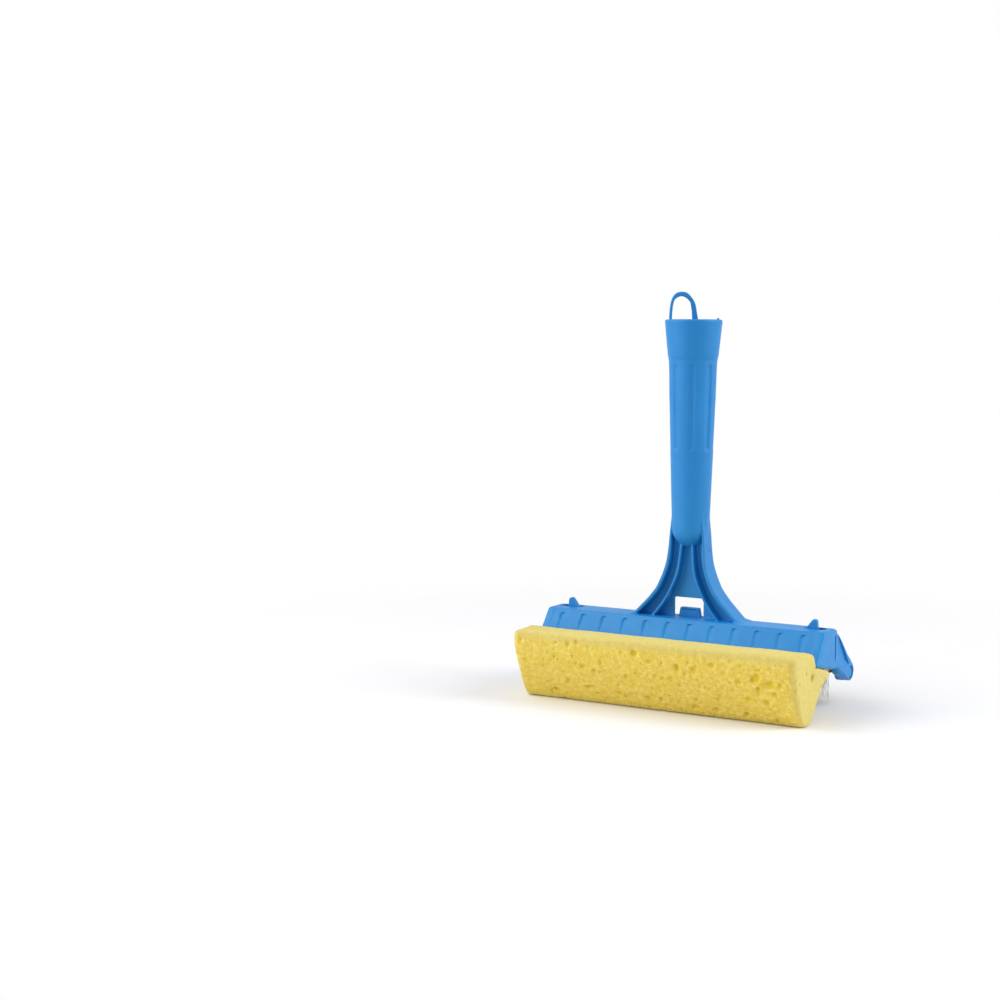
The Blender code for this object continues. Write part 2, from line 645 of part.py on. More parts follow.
def rim_nub_tool():
    """Small moulding nub that stands on the rim."""
    outer = RIM_RADIUS - RIM_FILLET
    inner = outer - NUB_WIDTH / 2
    low = (inner, -NUB_WIDTH / 2, RIM_HEIGHT - OVERRUN / 2)
    high = (outer, NUB_WIDTH / 2, RIM_HEIGHT + NUB_HEIGHT)
    return tool("rim_nub", box_mesh("rim_nub", low, high))


def build_moulding():
    """Handle, neck, channel and end plates."""
    channel = flat_mesh("channel", channel_outline(), 2 * (INNER_HALF + SEAM))
    moulding = piece("handle_and_head", channel, blue_plastic, ACROSS)
    handle = tool("handle_outer", turned_mesh("handle_outer", handle_profile(), ROUND_STEPS))
    joined = [handle] + neck_tools() + [rim_nub_tool()]
    cuts = [tool("pole_socket", turned_mesh("pole_socket", bore_profile(), ROUND_STEPS))]
    cuts += flute_tools() + groove_tools() + slot_tools() + [panel_tool()]
    for side in (-1, 1):
        end_joined, end_cuts = end_tools(side)
        joined += end_joined
        cuts += end_cuts
    shaped(moulding, joined, "UNION")
    shaped(moulding, cuts, "DIFFERENCE")


# Sponge and its carrier

def build_carrier():
    """Plate across the channel's mouth, with pegs and tongue that stand up through the head."""
    inside = beside(CHANNEL, WALL + CLEARANCE)
    lower = clipped(inside, FRONT_FOOT, MOUTH_WAY)
    upper = clipped(inside, FRONT_FOOT + MOUTH_NORMAL * CARRIER_THICKNESS, MOUTH_WAY)
    plate = flat_mesh("carrier", [lower[0], upper[0], upper[-1], lower[-1]], 2 * (INNER_HALF - CLEARANCE))
    carrier = piece("sponge_carrier", plate, blue_plastic, ACROSS)
    # Pegs and tongue start inside the plate, under the handle's axis
    middle = FRONT_FOOT + MOUTH_NORMAL * CARRIER_THICKNESS / 2
    root = meet(middle, MOUTH_WAY, Vector((0, 0)), Vector((0, 1))).y
    tip = TOP_HEIGHT + PEG_HEIGHT
    peg = [Vector((PEG_INNER, root)), Vector((PEG_OUTER, root)), Vector((PEG_OUTER, TOP_HEIGHT)),
           Vector((PEG_OUTER - PEG_TIP_OUTER_LEAN, tip)), Vector((PEG_INNER + PEG_TIP_INNER_LEAN, tip)),
           Vector((PEG_INNER, TOP_HEIGHT))]
    joined = []
    for side, flip in (("right", list), ("left", mirrored)):
        place = Matrix.Translation((0, -PEG_FRONT, 0)) @ FACING
        joined.append(tool(f"peg_{side}", flat_mesh("peg", flip(peg), PEG_DEPTH), place))
    half = [Vector((TONGUE_HALF_WIDTH, root)), Vector((TONGUE_HALF_WIDTH, TOP_HEIGHT)),
            Vector((TONGUE_HALF_WIDTH - TONGUE_TIP_LEAN, TOP_HEIGHT + TONGUE_HEIGHT))]
    tongue = flat_mesh("tongue", half + mirrored(half)[::-1], TONGUE_THICKNESS)
    joined.append(tool("tongue", tongue, Matrix.Translation((0, tongue_middle(), 0)) @ FACING))
    shaped(carrier, joined, "UNION")


def sponge_outline():
    """Section of the sponge, flattened where it stands on the floor."""
    points = [Vector((-SPONGE_FRONT * reach, SPONGE_TOP * height)) for reach, height in SPONGE_SHARES]
    face = FRONT_FOOT - MOUTH_NORMAL * (SEAM + CLEARANCE)
    under = face - MOUTH_NORMAL * LOBE_THICKNESS
    upright = Vector((0, 1))
    lobe = meet(under, MOUTH_WAY, Vector((-SPONGE_FRONT * LOBE_SHARE, 0)), upright)
    rear = meet(face, MOUTH_WAY, Vector((MOUTH_REAR - LOBE_INSET, 0)), upright)
    shoulder = meet(face, MOUTH_WAY, Vector((-MOUTH_FRONT - SHOULDER_GAP, 0)), upright)
    shoulder_top = shoulder + upright * (SPONGE_TOP - shoulder.y) * SHOULDER_TOP_SHARE
    points += [lobe, rear, shoulder, shoulder_top, Vector((-SPONGE_FRONT * TOP_BACK_SHARE, SPONGE_TOP))]
    return points


def build_sponge():
    """One foam bar with softened edges, glued under the carrier."""
    mesh = flat_mesh("sponge", sponge_outline(), HEAD_LENGTH - 2 * SPONGE_INSET)
    sponge = piece("sponge", mesh, foam, ACROSS)
    soften = sponge.modifiers.new("soft_edges", "BEVEL")
    soften.width = SPONGE_EDGE
    soften.segments = 2
    soften.limit_method = "ANGLE"
    soften.angle_limit = pi / 4


# Roller brush

def twist_angle(x):
    """Turn of the twisted stem at a place along it."""
    return tau * x / TWIST_PITCH


def around(x, radius, angle):
    """A point round the brush's axis."""
    return Vector((x, radius * cos(angle), radius * sin(angle)))


def build_wires(brush_axis):
    """Two wires twisted together, with the bristles held between them."""
    reach = FERRULE_INNER + WIRE_ENGAGEMENT - CLEARANCE
    steps = ceil(2 * reach / TWIST_PITCH * WIRE_POINTS_PER_TURN)
    for name, lead in (("stem_wire_a", pi / 2), ("stem_wire_b", -pi / 2)):
        route = [-reach + 2 * reach * i / steps for i in range(steps + 1)]
        points = [around(x, WIRE_OFFSET, twist_angle(x) + lead) for x in route]
        wire = piece(name, shade(tube_mesh(name, points, WIRE_RADIUS)), wire_steel)
        wire.parent = brush_axis
    return points


def self_gap(points, radius, turn_points):
    """Least gap between one turn of a wire and the next, on its points."""
    gaps = [(a - b).length for i, a in enumerate(points) for b in points[i + turn_points // 2:]]
    return min(gaps) - 2 * radius


def build_bristles(brush_axis):
    """Strands that grow from both edges of a twisted strip between the wires."""
    spacing = TWIST_PITCH / TUFTS_PER_TURN
    count = round((FERRULE_INNER - BRISTLE_MARGIN) / spacing) * 2
    half_strand = spacing * STRAND_FILL_SHARE / 2
    stations = []
    for index in range(count + 1):
        middle = (index - count / 2) * spacing
        stations += [middle - half_strand, middle + half_strand]
    work = bmesh.new()
    rings = []
    for index, x in enumerate(stations):
        # Both ends of a strand's root share its angle, so the strand isn't twisted
        angle = twist_angle((index // 2 - count / 2) * spacing)
        edge = around(0, CORE_HALF_WIDTH, angle)
        skin = around(0, CORE_THICKNESS / 2, angle + pi / 2)
        corners = (edge + skin, edge - skin, -edge - skin, -edge + skin)
        rings.append([work.verts.new(Vector((x, 0, 0)) + corner) for corner in corners])
    work.faces.new(rings[0])
    work.faces.new(rings[-1][::-1])
    roots = []
    for index, (near, far) in enumerate(zip(rings, rings[1:])):
        for k in range(4):
            face = work.faces.new((near[k], far[k], far[(k + 1) % 4], near[(k + 1) % 4]))
            if index % 2 == 0 and k in (0, 2):
                roots.append(face)
    bmesh.ops.recalc_face_normals(work, faces=work.faces)
    grown = bmesh.ops.extrude_discrete_faces(work, faces=roots)["faces"]
    for face in grown:
        out = face.calc_center_median()
        out.x = 0
        out.normalize()
        bmesh.ops.translate(work, verts=face.verts, vec=out * (BRISTLE_REACH - CORE_HALF_WIDTH))
    mesh = bpy.data.meshes.new("bristles")
    work.to_mesh(mesh)
    work.free()
    bristles = piece("bristles", mesh, filament)
    bristles.parent = brush_axis
    print("strands", len(roots))


def ferrule_profile():
    """Turned ferrule about Z, journal up, with a blind hole for the wires below."""
    hole = WIRE_OFFSET + WIRE_RADIUS + CLEARANCE
    hole_end = WIRE_ENGAGEMENT + WIRE_RADIUS
    top = FERRULE_LENGTH
    return [(0, top + CLEARANCE + JOURNAL_LENGTH), (JOURNAL_RADIUS, top + CLEARANCE + JOURNAL_LENGTH),
            (JOURNAL_RADIUS, top), (BOSS_RADIUS, top), (BOSS_RADIUS, FERRULE_CHAMFER),
            (BOSS_RADIUS - FERRULE_CHAMFER, 0), (hole, 0), (hole, hole_end), (0, hole_end)]


def build_ferrules(brush_axis):
    """Round ends of the stem, whose journals turn in the bosses."""
    mesh = shade(turned_mesh("ferrule", ferrule_profile(), SMALL_ROUND_STEPS))
    for name, side in (("ferrule_left", -1), ("ferrule_right", 1)):
        place = Matrix.Translation((side * FERRULE_INNER, 0, 0)) @ Matrix.Rotation(side * pi / 2, 4, "Y")
        ferrule = piece(name, mesh.copy(), blue_plastic, place)
        ferrule.parent = brush_axis
        ferrule.matrix_local = place


def build_brush():
    """Everything that turns with the brush."""
    brush_axis = bpy.data.objects.new("brush_axis", None)
    pieces.objects.link(brush_axis)
    brush_axis.parent = handle_axis
    brush_axis.location = (0, BRUSH_REAR, BRUSH_HEIGHT)
    wire = build_wires(brush_axis)
    print("least wire self gap, mm", round(self_gap(wire, WIRE_RADIUS, WIRE_POINTS_PER_TURN) / MM, 2))
    build_bristles(brush_axis)
    build_ferrules(brush_axis)


# Hanging plug

def loop_points(shares):
    """One side of the loop, across and up from the rim."""
    foot = Vector((LOOP_INSET + CLEARANCE - bore_radius(RIM_HEIGHT - PLUG_DROP), RIM_HEIGHT))
    return [foot + Vector((LOOP_SPREAD * across, LOOP_HEIGHT * up)) for across, up in shares]


def build_plug():
    """Disc with a skirt that stops the handle's mouth, and a loop to hang it by."""
    top = RIM_HEIGHT - PLUG_DROP
    bottom = top - PLUG_DISC - PLUG_SKIRT
    reach = bore_radius(bottom) - CLEARANCE
    rim_reach = bore_radius(top) - CLEARANCE
    profile = [(0, top), (rim_reach, top), (reach, bottom), (reach - PLUG_WALL, bottom),
               (reach - PLUG_WALL, top - PLUG_DISC), (0, top - PLUG_DISC)]
    plug = piece("hanging_plug", turned_mesh("hanging_plug", profile, ROUND_STEPS), blue_plastic)
    sunk = top - PLUG_DISC / 2
    outer, inner = loop_points(LOOP_OUTER_SHARES), loop_points(LOOP_INNER_SHARES)
    left = [Vector((inner[0].x, sunk)), Vector((outer[0].x, sunk))]
    right = [Vector((outer[-1].x, sunk)), Vector((inner[-1].x, sunk))]
    outline = left + outer + right + inner[::-1]
    turn = Matrix.Rotation(tau * LOOP_YAW_SHARE, 4, "Z")
    loop = tool("loop", flat_mesh("loop", outline, LOOP_DEPTH), turn @ FACING)
    shaped(plug, [loop], "UNION")


build_moulding()
build_carrier()
build_sponge()
build_brush()
build_plug()
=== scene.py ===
"""Looks of the window screen brush: moulded handle and head, foam sponge and twisted-wire brush.

Shapes are worked out in millimetres from the handle's axis, as distance fields: a field is the
distance to a surface, below zero inside.  Each piece is then meshed and set down in metres.
"""
from math import acos, ceil, cos, floor, pi, sin, tan, tau

import bpy
import numpy as np
import openvdb
from mathutils import Matrix, Vector


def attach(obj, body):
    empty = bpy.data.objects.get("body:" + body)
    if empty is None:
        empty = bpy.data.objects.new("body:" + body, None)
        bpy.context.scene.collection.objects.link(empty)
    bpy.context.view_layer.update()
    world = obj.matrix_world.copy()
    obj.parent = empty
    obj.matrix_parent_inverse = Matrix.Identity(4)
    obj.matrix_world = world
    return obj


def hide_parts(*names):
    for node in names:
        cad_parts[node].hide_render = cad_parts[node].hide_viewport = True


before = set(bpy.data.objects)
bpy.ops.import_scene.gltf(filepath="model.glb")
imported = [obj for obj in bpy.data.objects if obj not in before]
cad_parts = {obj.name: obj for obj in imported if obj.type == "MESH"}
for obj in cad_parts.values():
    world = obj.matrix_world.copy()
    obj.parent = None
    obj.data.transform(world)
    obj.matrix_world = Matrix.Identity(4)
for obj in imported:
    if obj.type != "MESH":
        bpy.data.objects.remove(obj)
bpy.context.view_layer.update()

MM = 0.001
AXIS_REAR_OF_ORIGIN = 3.65  # handle's axis behind the model's origin
CLEARANCE = 0.3
OVERRUN = 2.0  # how far a cut runs past a face
SEAM = 0.2  # end plates stand proud of the channel
FINE_EDGE, EDGE, SOFT_EDGE = 0.2, 0.3, 0.5  # radii of edges that a mould leaves

# Head
HALF_LENGTH = 100.0
WALL = 2.2
CHANNEL = [Vector(p) for p in ((-29.5, 35.4), (-13.3, 55.0), (7.6, 55.0), (5.0, 28.6))]
TOP = 55.0
INNER_HALF = 94.3
CHANNEL_SUNK = 0.4  # channel's ends run into the plates
CHANNEL_RADII = (0.5, 1.0, 1.0, 0.7, 0.4, 0.7, 0.7, 0.4)
REAR_EDGE_FROM_TO, REAR_EDGE_RADII = (82.0, 94.0), (1.0, 3.0)  # rear edge grows rounder near the plates
ARM_OUTER = ((8.7, 28.4, 1.0),)  # arm's underside at the plate's outer face,
ARM_INNER = ((12.6, 28.6, 1.0), (16.6, 23.2, 1.5))  # and at its inner face: (across, up, radius)
PLATE_FOOT_RADIUS, PLATE_FRONT_RADIUS, PLATE_REAR_RADIUS, PLATE_HEEL_RADIUS = 1.2, 3.0, 12.0, 1.0
PLATE_EDGE_REACH, PLATE_EDGE_RADII = (8.0, 14.0), (1.0, 2.3)  # its outer edge is sharper at the boss
POCKET_FRONT, POCKET_FOOT, POCKET_RIM, POCKET_DEPTH = 4.4, 32.0, 2.4, 1.5
POCKET_HEEL, POCKET_TIP_HEIGHT = (20.0, 27.6, 2.0), 27.0
POCKET_TOE, POCKET_TOE_RADIUS, POCKET_CORNER = 10.0, 1.5, 0.8  # its foot turns down at the toe
POCKET_FULL_DEPTH_REAR = 12.0  # its floor slopes down from the score to here
POCKET_FADE = (26.0, 31.0)  # heights between which it runs out at the boss
SCORE_FRONT, SCORE_REAR, SCORE_DEPTH = 4.2, 6.0, 1.6  # narrow groove along the pocket's front
SCORE_FOOT, SCORE_HEAD = 34.4, 50.8
GROOVE_PITCH, GROOVE_WIDTH, GROOVE_MARGIN = 15.7, 5.2, 3.0
GROOVE_FOOT_WIDTH = 1.4  # grooves narrow downwards
GROOVE_HEAD_DEPTH, GROOVE_FOOT_DEPTH = 1.25, 0.3
GROOVE_FLANK = 1.8  # steep on the left, running out to the right
GROOVE_RISE = 5.0  # they deepen from this far up the wall
GROOVE_EDGE = 0.15
GROOVES_EACH_SIDE = 6
PANEL_HALF, PANEL_TOP, PANEL_FOOT, PANEL_DEPTH = 79.0, 8.0, 2.4, 0.4
PANEL_CORNER = 4.0

# Brush
BRUSH = Vector((36.6, 21.6))  # its axis, behind the handle's and above the floor
BOSS_RADIUS, BOSS_LENGTH, BOSS_FLAT = 6.5, 4.1, 0.9  # bosses are a little flat below
BOSS_STEPS = 20
REACH = 21.6
TWIST_PITCH = 14.0
WIRE_RADIUS, WIRE_OFFSET, WIRE_END = 0.9, 1.57, 93.2
FERRULE_INNER, FERRULE_LENGTH = 90.5, 5.1
FERRULE_RADIUS, FERRULE_EDGE = 5.9, 0.7
WIRE_HOLE_DEPTH, WIRE_HOLE_EDGE = 3.9, 0.4
JOURNAL_RADIUS, JOURNAL_LENGTH, JOURNAL_ROOT = 2.3, 3.3, 1.0
SNAP_RADIUS, SNAP_INNER, SNAP_OUTER = 3.3, 98.9, 99.6  # journal's snapped head, in a recess of the boss
RECESS_RADIUS, RECESS_DEPTH = 4.1, 1.3

# Handle: (height, radius) up its outside and up its bore
NOSE_HEIGHT, NOSE_RADIUS = 114.2, 12.3
RIM_HEIGHT = 252.2
OUTSIDE = ((114.2, 12.3), (200.2, 15.35), (225.6, 15.9), (228.4, 16.6), (252.2, 19.0))
BORE = ((114.2, 10.1), (200.2, 13.15), (227.0, 13.7), (254.0, 16.59))
FLUTES, FLUTE_FOOT, FLUTE_HEAD, FLUTE_WIDTH, FLUTE_DEPTH = 8, 168.4, 220.8, 4.4, 0.8
RIM_ROUND, MOUTH_EDGE, BORE_CORNER = 1.5, 0.6, 1.5
NUB_PLACE, NUB_HALF_ACROSS, NUB_HALF_ALONG, NUB_CORNER = 17.2, 0.6, 1.0, 0.4  # small nub on the rim
NUB_ROOT, NUB_HEIGHT = 1.0, 0.9

# Neck curves, as (share of the height, share of the spread)
FLANGE_SHARES = ((0.0, 1.0), (0.17, 0.648), (0.28, 0.444), (0.41, 0.262), (0.665, 0.072), (1.0, 0.0))
RIB_SHARES = ((0.0, 1.0), (0.2, 0.605), (0.42, 0.3), (0.65, 0.097), (1.0, 0.0))
NECK_FOOT, NECK_CUT = 53.9, 53.4
FLANGE_TOP, FLANGE_TOP_SPREAD, FLANGE_FOOT_SPREAD = 110.5, 12.4, 39.6
FLANGE_TAIL = Vector((10.2, 131.0))
TAPER_FROM_TO = (96.0, 116.0)  # flanges get thinner between these heights
FLANGE_THICKNESS, FLANGE_TAPER, RIB_THICKNESS, WEB_THICKNESS = 2.6, 0.42, 1.9, 2.0
RIB_TOP, RIB_TOP_SPREAD, RIB_FOOT_SPREAD = 104.5, 3.8, 24.2
NECK_DEEP, NECK_SLIM = 80.0, 105.0  # flanges and ribs reach furthest below, and least above
FLANGE_FRONT, FLANGE_REAR = (8.3, 6.65), (7.2, 6.65)
RIB_FRONT, RIB_REAR = (8.0, 6.2), (6.8, 6.2)
FLANGE_EDGE, RIB_EDGE, WINDOW_EDGE = 0.9, 0.85, 0.4
FLANGE_FILLET, RIB_FILLET, NECK_FILLET = 0.7, 0.6, 0.35
FOOT_FROM_TO, FOOT_FILLETS = (35.0, 40.0), (0.7, 3.5)  # flanges' tips run out widely on the head's top
PIT = (13.8, 0.9, 100.3)  # small upright moulding pit in the right flange's outer face
PIT_RADIUS, PIT_STRETCH = 1.2, 0.6
WINDOW_HALF, WINDOW_FOOT, WINDOW_TOP, WINDOW_CORNER = 10.5, 45.0, 67.9, 1.2

# Sponge carrier
CARRIER_THICKNESS = 2.0
PEG_INNER, PEG_OUTER, PEG_FRONT, PEG_DEPTH = 81.0, 90.0, 0.6, 3.8
PEG_ROOT, PEG_SLOT_OUTER, PEG_SLOT_FRONT, PEG_SLOT_REAR = 30.0, 95.3, -3.0, 5.2
PEG_SLOT_CORNER, SLOT_EDGE = 0.8, 0.25
PEG_TIP = ((89.4, 60.8, 1.4), (86.9, 61.2, 1.5))  # (across, up, radius)
PEG_BARB, PEG_OUTER_RADIUS, PEG_INNER_RADIUS, PEG_NOTCH = 82.2, 3.0, 2.0, 3.0
TONGUE_HALF, TONGUE_LEAN, TONGUE_TOP, TONGUE_THICKNESS, TONGUE_MIDDLE = 7.9, 1.2, 61.0, 3.2, 2.131
TONGUE_ROOT, TONGUE_SHOULDER_RADIUS, TONGUE_TIP_RADIUS, TONGUE_EDGE = 25.0, 2.0, 0.7, 0.35
INSET_SIDE_MARGIN, INSET_TOP_MARGIN, INSET_DROP, INSET_DEPTH = 2.4, 1.3, 6.0, 0.35  # in its face
ARM_ROOT_FILLET = 0.8

# Hanging plug
PLUG_TOP, PLUG_DISC, PLUG_FOOT, PLUG_WALL = 251.0, 2.4, 236.6, 1.8
PLUG_EDGE, PLUG_CORNER = 1.0, 0.8
LOOP_EDGE, LOOP_FILLET, LOOP_STEPS = 0.65, 0.7, 3
LOOP_YAW = tau * 0.0842
LOOP_DEPTH, LOOP_LEFT, LOOP_SPREAD, LOOP_HEIGHT = 3.6, -16.2, 19.0, 18.1
LOOP_OUTER = ((0.0, 0.0), (0.016, 0.34), (0.05, 0.61), (0.113, 0.8), (0.23, 0.945), (0.41, 1.0),
              (0.62, 0.955), (0.78, 0.78), (0.892, 0.58), (0.944, 0.31), (1.0, 0.0))
LOOP_INNER = ((0.09, 0.0), (0.115, 0.41), (0.17, 0.68), (0.293, 0.8), (0.446, 0.835),
              (0.6, 0.765), (0.725, 0.62), (0.755, 0.47), (0.785, 0.26), (0.8, 0.0))

# Sponge, seen from the end: (across, up, corner radius)
SPONGE_HALF = 98.6
SPONGE_SECTION = ((-65.5, 47.3, 3.0), (-65.37, 36.27, 25), (-62.29, 25.72, 25), (-55.6, 13.2, 25),
                  (-49.6, 4.2, 8), (-45.5, 0.0, 2.0), (-36.02, 0.0, 3), (-19.72, 13.99, 10),
                  (-14.61, 20.82, 6), (-1.31, 25.9, 2), (3.0, 28.7, 0.9), (-31.8, 35.55, 0.8),
                  (-31.8, 43.33, 3), (-44.8, 47.1, 5))
SHARED_CORNERS = 9
# Near its ends the foam is pressed against the head, and its rear tip is rounder
SPONGE_END_SECTION = SPONGE_SECTION[:SHARED_CORNERS] + (
    (-1.0, 25.6, 2), (1.0, 27.4, 0.8), (-5.5, 30.3, 3),
    (-30.0, 35.2, 0.8), (-31.0, 43.9, 3), (-41.5, 46.6, 5))
ENDING_FROM_TO = (84.0, 96.0)  # the section changes between these places
BULGE, BULGE_PLACE, BULGE_SPREAD = 1.8, (-26.0, 36.0), (9.0, 7.0)  # the ends' middle stands out
END_EDGE_FROM_TO, END_EDGE_RADII = (-60.0, -42.0), (4.5, 2.0)  # the ends' edge, front to rear
SWELL_COUNT, SWELL_HEIGHT, SWELL_RATES, SWELL_CROSSWISE = 7, 0.07, (0.03, 0.16), 1.5
FLOOR_EDGE = 0.8
FRONT_CORNERS_REAR = -43.0  # corners ahead of this form the front face

# Foam's pores and grain
PORE_LOW, PORE_HIGH = (-99, -66, 0.5), (99, 3, 47.5)
PORE_SHAPES = (0.75, 0.6, 0.8), (1.05, 0.9, 1.4)  # least and most stretch along, across and up
PORE_NEARNESS = 0.5  # most that a pore lies off the surface, as a share of its radius
TRIES_PER_PORE = 90
CALM_TOP, CALM_END = 42.0, 94.0  # the cut top and ends have few pores
CALM_TOP_SHARE, CALM_END_SHARE, LEFT_SHARE = 0.1, 0.35, 0.35
LEFT_FROM, LEFT_TO_RIGHT = -40.0, 110.0
GRAIN_HEIGHT = 0.06
LARGE_PORE_SINK, LARGE_PORE_STRETCH, LARGE_PORE_DEPTH_SHARE = 0.2, 1.12, 0.42
# Scattered pores: (count, smallest, largest, lean towards the smallest, rim radius)
SCATTERED_PORES = ((90, 1.0, 2.0, 1.8, 1.0), (900, 0.5, 1.0, 1.0, 0.5))
LARGE_PORE_RIM = 1.3
# Painted light: where the top and the ends turn paler and greyer for how the lamps fall on them, and over
# how wide
PAINTED_LIGHT_END, PAINTED_LIGHT_END_WIDTH, PAINTED_LIGHT_TOP, PAINTED_LIGHT_TOP_WIDTH = 94.0, 4.0, 40.0, 5.0


# Outlines in a plane

def meet(start, along, other, other_along):
    """Where two lines cross."""
    turn = along.x * other_along.y - along.y * other_along.x
    gap = other - start
    return start + along * ((gap.x * other_along.y - gap.y * other_along.x) / turn)


def beside(points, distance):
    """An open outline moved to its right-hand side."""
    ways = [(b - a).normalized() for a, b in zip(points, points[1:])]
    sides = [Vector((way.y, -way.x)) * distance for way in ways]
    moved = [points[0] + sides[0]]
    for i in range(1, len(ways)):
        moved.append(meet(points[i] + sides[i - 1], ways[i - 1], points[i] + sides[i], ways[i]))
    return moved + [points[-1] + sides[-1]]


def clipped(points, start, along):
    """An open outline whose ends are moved along their runs to a line."""
    first = meet(points[0], points[1] - points[0], start, along)
    last = meet(points[-1], points[-2] - points[-1], start, along)
    return [first] + points[1:-1] + [last]


def rounded(corners, steps=6):
    """A closed outline of (across, up, radius) corners, each turned with its own radius."""
    spots = [Vector(corner[:2]) for corner in corners]
    outline = []
    for i, (spot, corner) in enumerate(zip(spots, corners)):
        if not corner[2]:
            outline.append(spot)
            continue
        back = (spots[i - 1] - spot).normalized()
        on = (spots[(i + 1) % len(spots)] - spot).normalized()
        half = back.angle(on) / 2
        centre = spot + (back + on).normalized() * (corner[2] / sin(half))
        first = spot + back * (corner[2] / tan(half)) - centre
        sweep = (spot + on * (corner[2] / tan(half)) - centre).angle_signed(first)
        for step in range(steps + 1):
            angle = sweep * step / steps
            outline.append(centre + Vector((first.x * cos(angle) - first.y * sin(angle),
                                            first.x * sin(angle) + first.y * cos(angle))))
    return outline


def smooth_run(points, steps=6):
    """A smooth curve through points."""
    run = []
    for i in range(len(points) - 1):
        before, after = points[max(i - 1, 0)], points[min(i + 2, len(points) - 1)]
        a, b = points[i], points[i + 1]
        for step in range(steps):
            t = step / steps
            run.append(0.5 * (2 * a + (b - before) * t + (2 * before - 5 * a + 4 * b - after) * t ** 2
                              + (3 * a - before - 3 * b + after) * t ** 3))
    return run + [points[-1]]


def mirrored(points):
    """Points turned over to the left-hand side."""
    return [Vector((-p.x, p.y)) for p in points]


def tangent_angle(point, centre, radius, side):
    """Angle on a circle where the tangent from a point touches it."""
    away = point - centre
    return away.angle_signed(Vector((1, 0))) + side * acos(radius / away.length)


# Distance fields

FAR_AWAY = 1e4


def outline_field(outline, across, up):
    """Distance in a plane from a closed outline."""
    across, up = np.broadcast_arrays(across, up)
    nearest = np.full(across.shape, FAR_AWAY ** 2, np.float32)
    inside = np.zeros(across.shape, bool)
    for a, b in zip(outline, outline[1:] + outline[:1]):
        run_across, run_up = b.x - a.x, b.y - a.y
        from_across, from_up = across - a.x, up - a.y
        share = (from_across * run_across + from_up * run_up) / (run_across ** 2 + run_up ** 2)
        share = np.clip(share, 0, 1)
        off_across, off_up = from_across - run_across * share, from_up - run_up * share
        nearest = np.minimum(nearest, off_across ** 2 + off_up ** 2)
        if run_up:
            left_of = from_across * run_up < from_up * run_across
            inside ^= ((a.y > up) != (b.y > up)) & (left_of if run_up > 0 else ~left_of)
    return np.where(inside, -1, 1) * np.sqrt(nearest)


def overlap(a, b, rounding=0.0):
    """What two shapes share, with its outer edge rounded."""
    past_edge = np.hypot(np.maximum(rounding + a, 0), np.maximum(rounding + b, 0))
    return np.minimum(-rounding, np.maximum(a, b)) + past_edge


def union(a, b, fillet=0.0):
    """Two shapes joined, with a fillet in the inner corner."""
    return -overlap(-a, -b, fillet)


def cut(a, b, rounding=0.0):
    """The first shape without the second."""
    return overlap(a, -b, rounding)


def between(value, low, high):
    """Distance from a slab between two values."""
    return np.abs(value - (low + high) / 2) - (high - low) / 2


def capsule(across, side, up, foot, head, radius):
    """Round-ended rod between two points of the plane where side is zero."""
    run = head - foot
    share = np.clip(((across - foot.x) * run.x + (up - foot.y) * run.y) / run.length_squared, 0, 1)
    off_across, off_up = across - foot.x - run.x * share, up - foot.y - run.y * share
    return np.sqrt(off_across ** 2 + side ** 2 + off_up ** 2) - radius


# Meshes

NECK_FROM, HEAD_TO, HANDLE_FROM, NECK_TO = 50.0, 66.0, 98.0, 134.0  # heights that each part lies between
BANDS = (-FAR_AWAY, NECK_FROM, HEAD_TO, HANDLE_FROM, NECK_TO, FAR_AWAY)
FIELD_DEPTH = 3  # samples kept on each side of a surface
PROBE, WIDE_PROBE = 0.02, 0.05  # steps that a field's slope is measured over
LEAST_SLOPE = 0.2
SETTLING_ROUNDS = 2


def sampled(field, low, high, grain):
    """A field's values at even steps through a box, with the first sample's place."""
    first = [floor(c / grain) for c in low]
    count = [ceil(c / grain) - f + 1 for c, f in zip(high, first)]
    places = [((np.arange(n) + f) * grain).astype(np.float32) for f, n in zip(first, count)]
    x, y, z = places[0][:, None, None], places[1][None, :, None], places[2][None, None, :]
    return first, np.broadcast_to(field(x, y, z), count).astype(np.float32)


def skin(blocks, grain, merging=0.0):
    """Points and faces of the surface where sampled fields are zero."""
    band = FIELD_DEPTH * grain
    grid = openvdb.FloatGrid(band)
    for first, values in blocks:
        grid.copyFromArray(np.clip(values, -band, band), ijk=first)
    points, triangles, quads = grid.convertToPolygons(0.0, merging)
    return points.astype(float) * grain, triangles, quads


def slope(field, points, step):
    """Direction and rate of a field's growth at points."""
    corners = np.array(((1, -1, -1), (-1, -1, 1), (-1, 1, -1), (1, 1, 1)), np.float32)
    return sum(corner * field(*(points + corner * step).T)[:, None] for corner in corners) / (4 * step)


def settled(field, points, grain):
    """Points moved onto a field's exact surface, and the surface's normals there."""
    way = slope(field, points, PROBE)
    for _ in range(SETTLING_ROUNDS):
        reach = field(*points.T) / np.maximum((way ** 2).sum(1), LEAST_SLOPE)
        points = points - way * np.clip(reach, -grain / 2, grain / 2)[:, None]
    way = slope(field, points, WIDE_PROBE)
    return points, way / np.linalg.norm(way, axis=1)[:, None]


def placed(points):
    """Millimetres from the handle's axis, as metres in the model's frame."""
    return (np.asarray(points, float) + (0, AXIS_REAR_OF_ORIGIN, 0)) * MM


